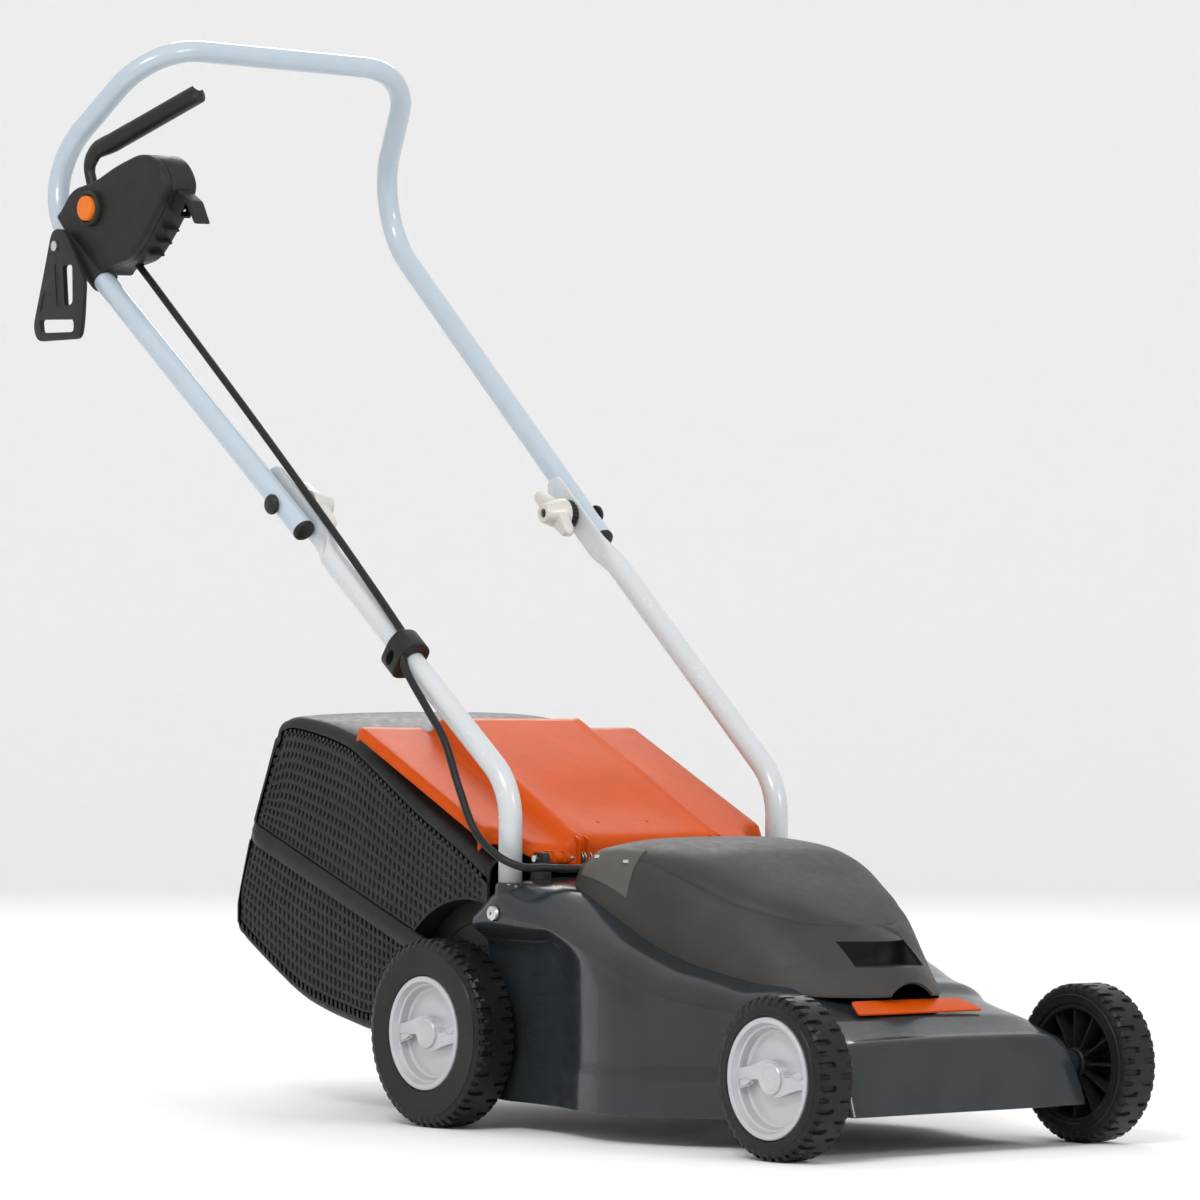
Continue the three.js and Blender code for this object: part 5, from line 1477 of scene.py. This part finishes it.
# ---------------------------------------------------------------- cable and its clip
CABLE_RADIUS, CABLE_OFFSET = 3.5, 15.5
CLIP_Z, CLIP_HALF = 415, 11
ABOVE_FOLD = (-164.5, 250, 585)
CABLE_LOOP = [
    (-175, 23, 366), (-176, -3, 339), (-175.5, -25, 296), (-174, -45, 261), (-172, -74, 240),
    (-160, -93, 230), (-140, -102, 229), (-120, -108, 228), (-104, -122, 228), (-96, -140, 227),
]
CLIP_WRAP = ((15, 75), (2, 55), (-12, 20), (-24, 0))


def clip_basis():
    along = Vector((-LOWER_SPLAY, LOWER_RUN, 1)).normalized()
    above = along.cross(Vector((1, 0, 0))).normalized()
    above = above if above.z > 0 else -above
    aside = above.cross(along).normalized()
    aside = aside if aside.x < 0 else -aside
    return Vector(flipped(lower_line(CLIP_Z), -1)), along, above, aside


def cable_route():
    u, v, w = CABLE_EXIT
    centre, along, above, aside = clip_basis()
    points = [SWITCH_FRAME @ Vector(p) for p in ((u - 20, v, w), (u + 30, v - 1, w))]
    points.append(Vector(ABOVE_FOLD))
    for distance, degrees in CLIP_WRAP:
        a = math.radians(degrees)
        points.append(centre + along * distance + (above * math.sin(a) + aside * math.cos(a)) * CABLE_OFFSET)
    return points + [Vector(p) for p in CABLE_LOOP]


def make_cable():
    path = catmull(cable_route(), 14)
    cable = make_object("cable_sleeve", pipe(path, CABLE_RADIUS, 20), 40)
    cable.data.materials.append(CABLE_BLACK)
    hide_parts("switch_cable")
    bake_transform(cable)


def make_clip():
    centre, along, above, aside = clip_basis()
    side_sign = 1 if Matrix((above, aside, along)).determinant() > 0 else -1
    turn = Matrix((above, aside * side_sign, along)).transposed().to_4x4()
    place = Matrix.Translation(centre) @ turn
    ring = [(-19, -14), (-19, 12), (-13, 18), (8, 19), (21, 14), (21, -4), (12, -15)]
    outline = rounded([(a, b * side_sign) for a, b in ring], 6, 5)
    clip = make_object("cable_strap", pillow(outline, -CLIP_HALF, CLIP_HALF, 1.6, 1.6).move(place), 35)
    bore = [centre + along * -40, centre + along * 40]
    window = turned([(0, 4), (6.4, 4), (6.4, 30), (0, 30)], 32)
    window.move(Matrix.Diagonal((0.72, 1.25, 1, 1)))
    aim = Matrix((along, above, aside)).transposed().to_4x4()
    cable_bore = pipe(catmull(cable_route(), 14), CABLE_RADIUS + 0.3, 20)
    cut(clip, pipe(bore, TUBE_RADIUS + 0.3, 32), cable_bore)
    cut(clip, window.move(Matrix.Translation(centre - above * 3) @ aim))
    dress(clip, "chassis", "black_plastic", HOOK_BLACK, replaces=("cable_clip",))


# ---------------------------------------------------------------- small pieces on the deck
def make_badge():
    outline = rounded([(-70, -11.5), (70, -11.5), (60, 11.5), (-60, 11.5)], 4, 6)
    lean = shift(0, -423.5, 118.2) @ Matrix.Rotation(math.atan2(12, 27), 4, "X")
    badge = make_object("badge_plate", pillow(outline, 0, 1.6, 0, 0.5).move(lean), 35)
    dress(badge, "chassis", "flap_plastic", FLAP_ORANGE, replaces=("front_badge",))


def make_hinge():
    outline = rounded([(-82, 203), (-58, 203), (-62, 241.5), (-78, 241.5)], 5, 6)
    for side, sign in SIDES:
        plate = pillow(outline, sign * 120 - 4, sign * 120 + 4, 0.8, 0.8).move(OUTLINE_TO_YZ)
        bracket = make_object(f"hinge_plate_{side}", plate, 35)
        bore = turned([(0, -170), (3.3, -170), (3.3, 170), (0, 170)], 24, "X")
        cut(bracket, bore.move(shift(0, HINGE_Y, HINGE_Z)))
        dress(bracket, "chassis", "black_plastic", HOOK_BLACK, replaces=(f"hinge_bracket_{side}",))
    turns, steps = 4, 24
    helix = []
    for k in range(turns * steps + 1):
        a = 2 * math.pi * k / steps
        helix.append((-79 + 3.2 * k / steps, HINGE_Y + 6 * math.cos(a), HINGE_Z + 6 * math.sin(a)))
    spring = make_object("flap_coil", pipe(helix, 0.9, 12), 60)
    dress(spring, "chassis", "blade_steel", STEEL, replaces=("flap_spring",))


def make_foot_screws():
    for side, sign in SIDES:
        head = turned([
            (0, 171.6), (1.1, 171.6), (1.5, 173.9), (4.4, 173.9), (6.3, 173), (7, 171.4), (7, 169.8),
            (0, 169.8),
        ], 32, "X")
        shank = turned([(0, 136), (3, 136), (3, 170.4), (0, 170.4)], 24, "X")
        screw = head.join(shank).move(Matrix.Scale(sign, 4, (1, 0, 0)) @ shift(0, FOOT_Y, 189))
        screw = make_object(f"foot_screw_{side}", screw, 30)
        dress(screw, "chassis", "zinc_plate", ZINC, replaces=(f"handle_screw_{side}",))


# ---------------------------------------------------------------- frame pieces that keep their own shape
KEPT = (
    (ZINC, ("front_axle", "rear_axle", "flap_hinge_pin", "hook_pin", "blade_washer", "blade_bolt")),
    (STEEL, ("blade", "rotor", "motor_shaft", "bearing_upper", "bearing_lower", "lever_pin")),
    (CAST, ("motor_housing", "motor_end_plate", "blade_flange")),
    (COPPER, ("stator",)),
    (HOOK_BLACK, ("cooling_fan", "capacitor", "switch_module")),
    (FLAP_ORANGE, ("flap_knuckle_right", "flap_knuckle_left")),
)


def finish_kept_pieces():
    for finish, names in KEPT:
        for name in names:
            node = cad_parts[name]
            if not node.data.materials:
                node.data.materials.append(finish)
            for slot in node.material_slots:
                slot.link = "OBJECT"
                slot.material = finish
            bevel(node, 0.35, 2, 40)


make_switch_box()
make_button()
make_lever()
make_inlet()
make_hook()
make_cable()
make_clip()
make_badge()
make_hinge()
make_foot_screws()
finish_kept_pieces()
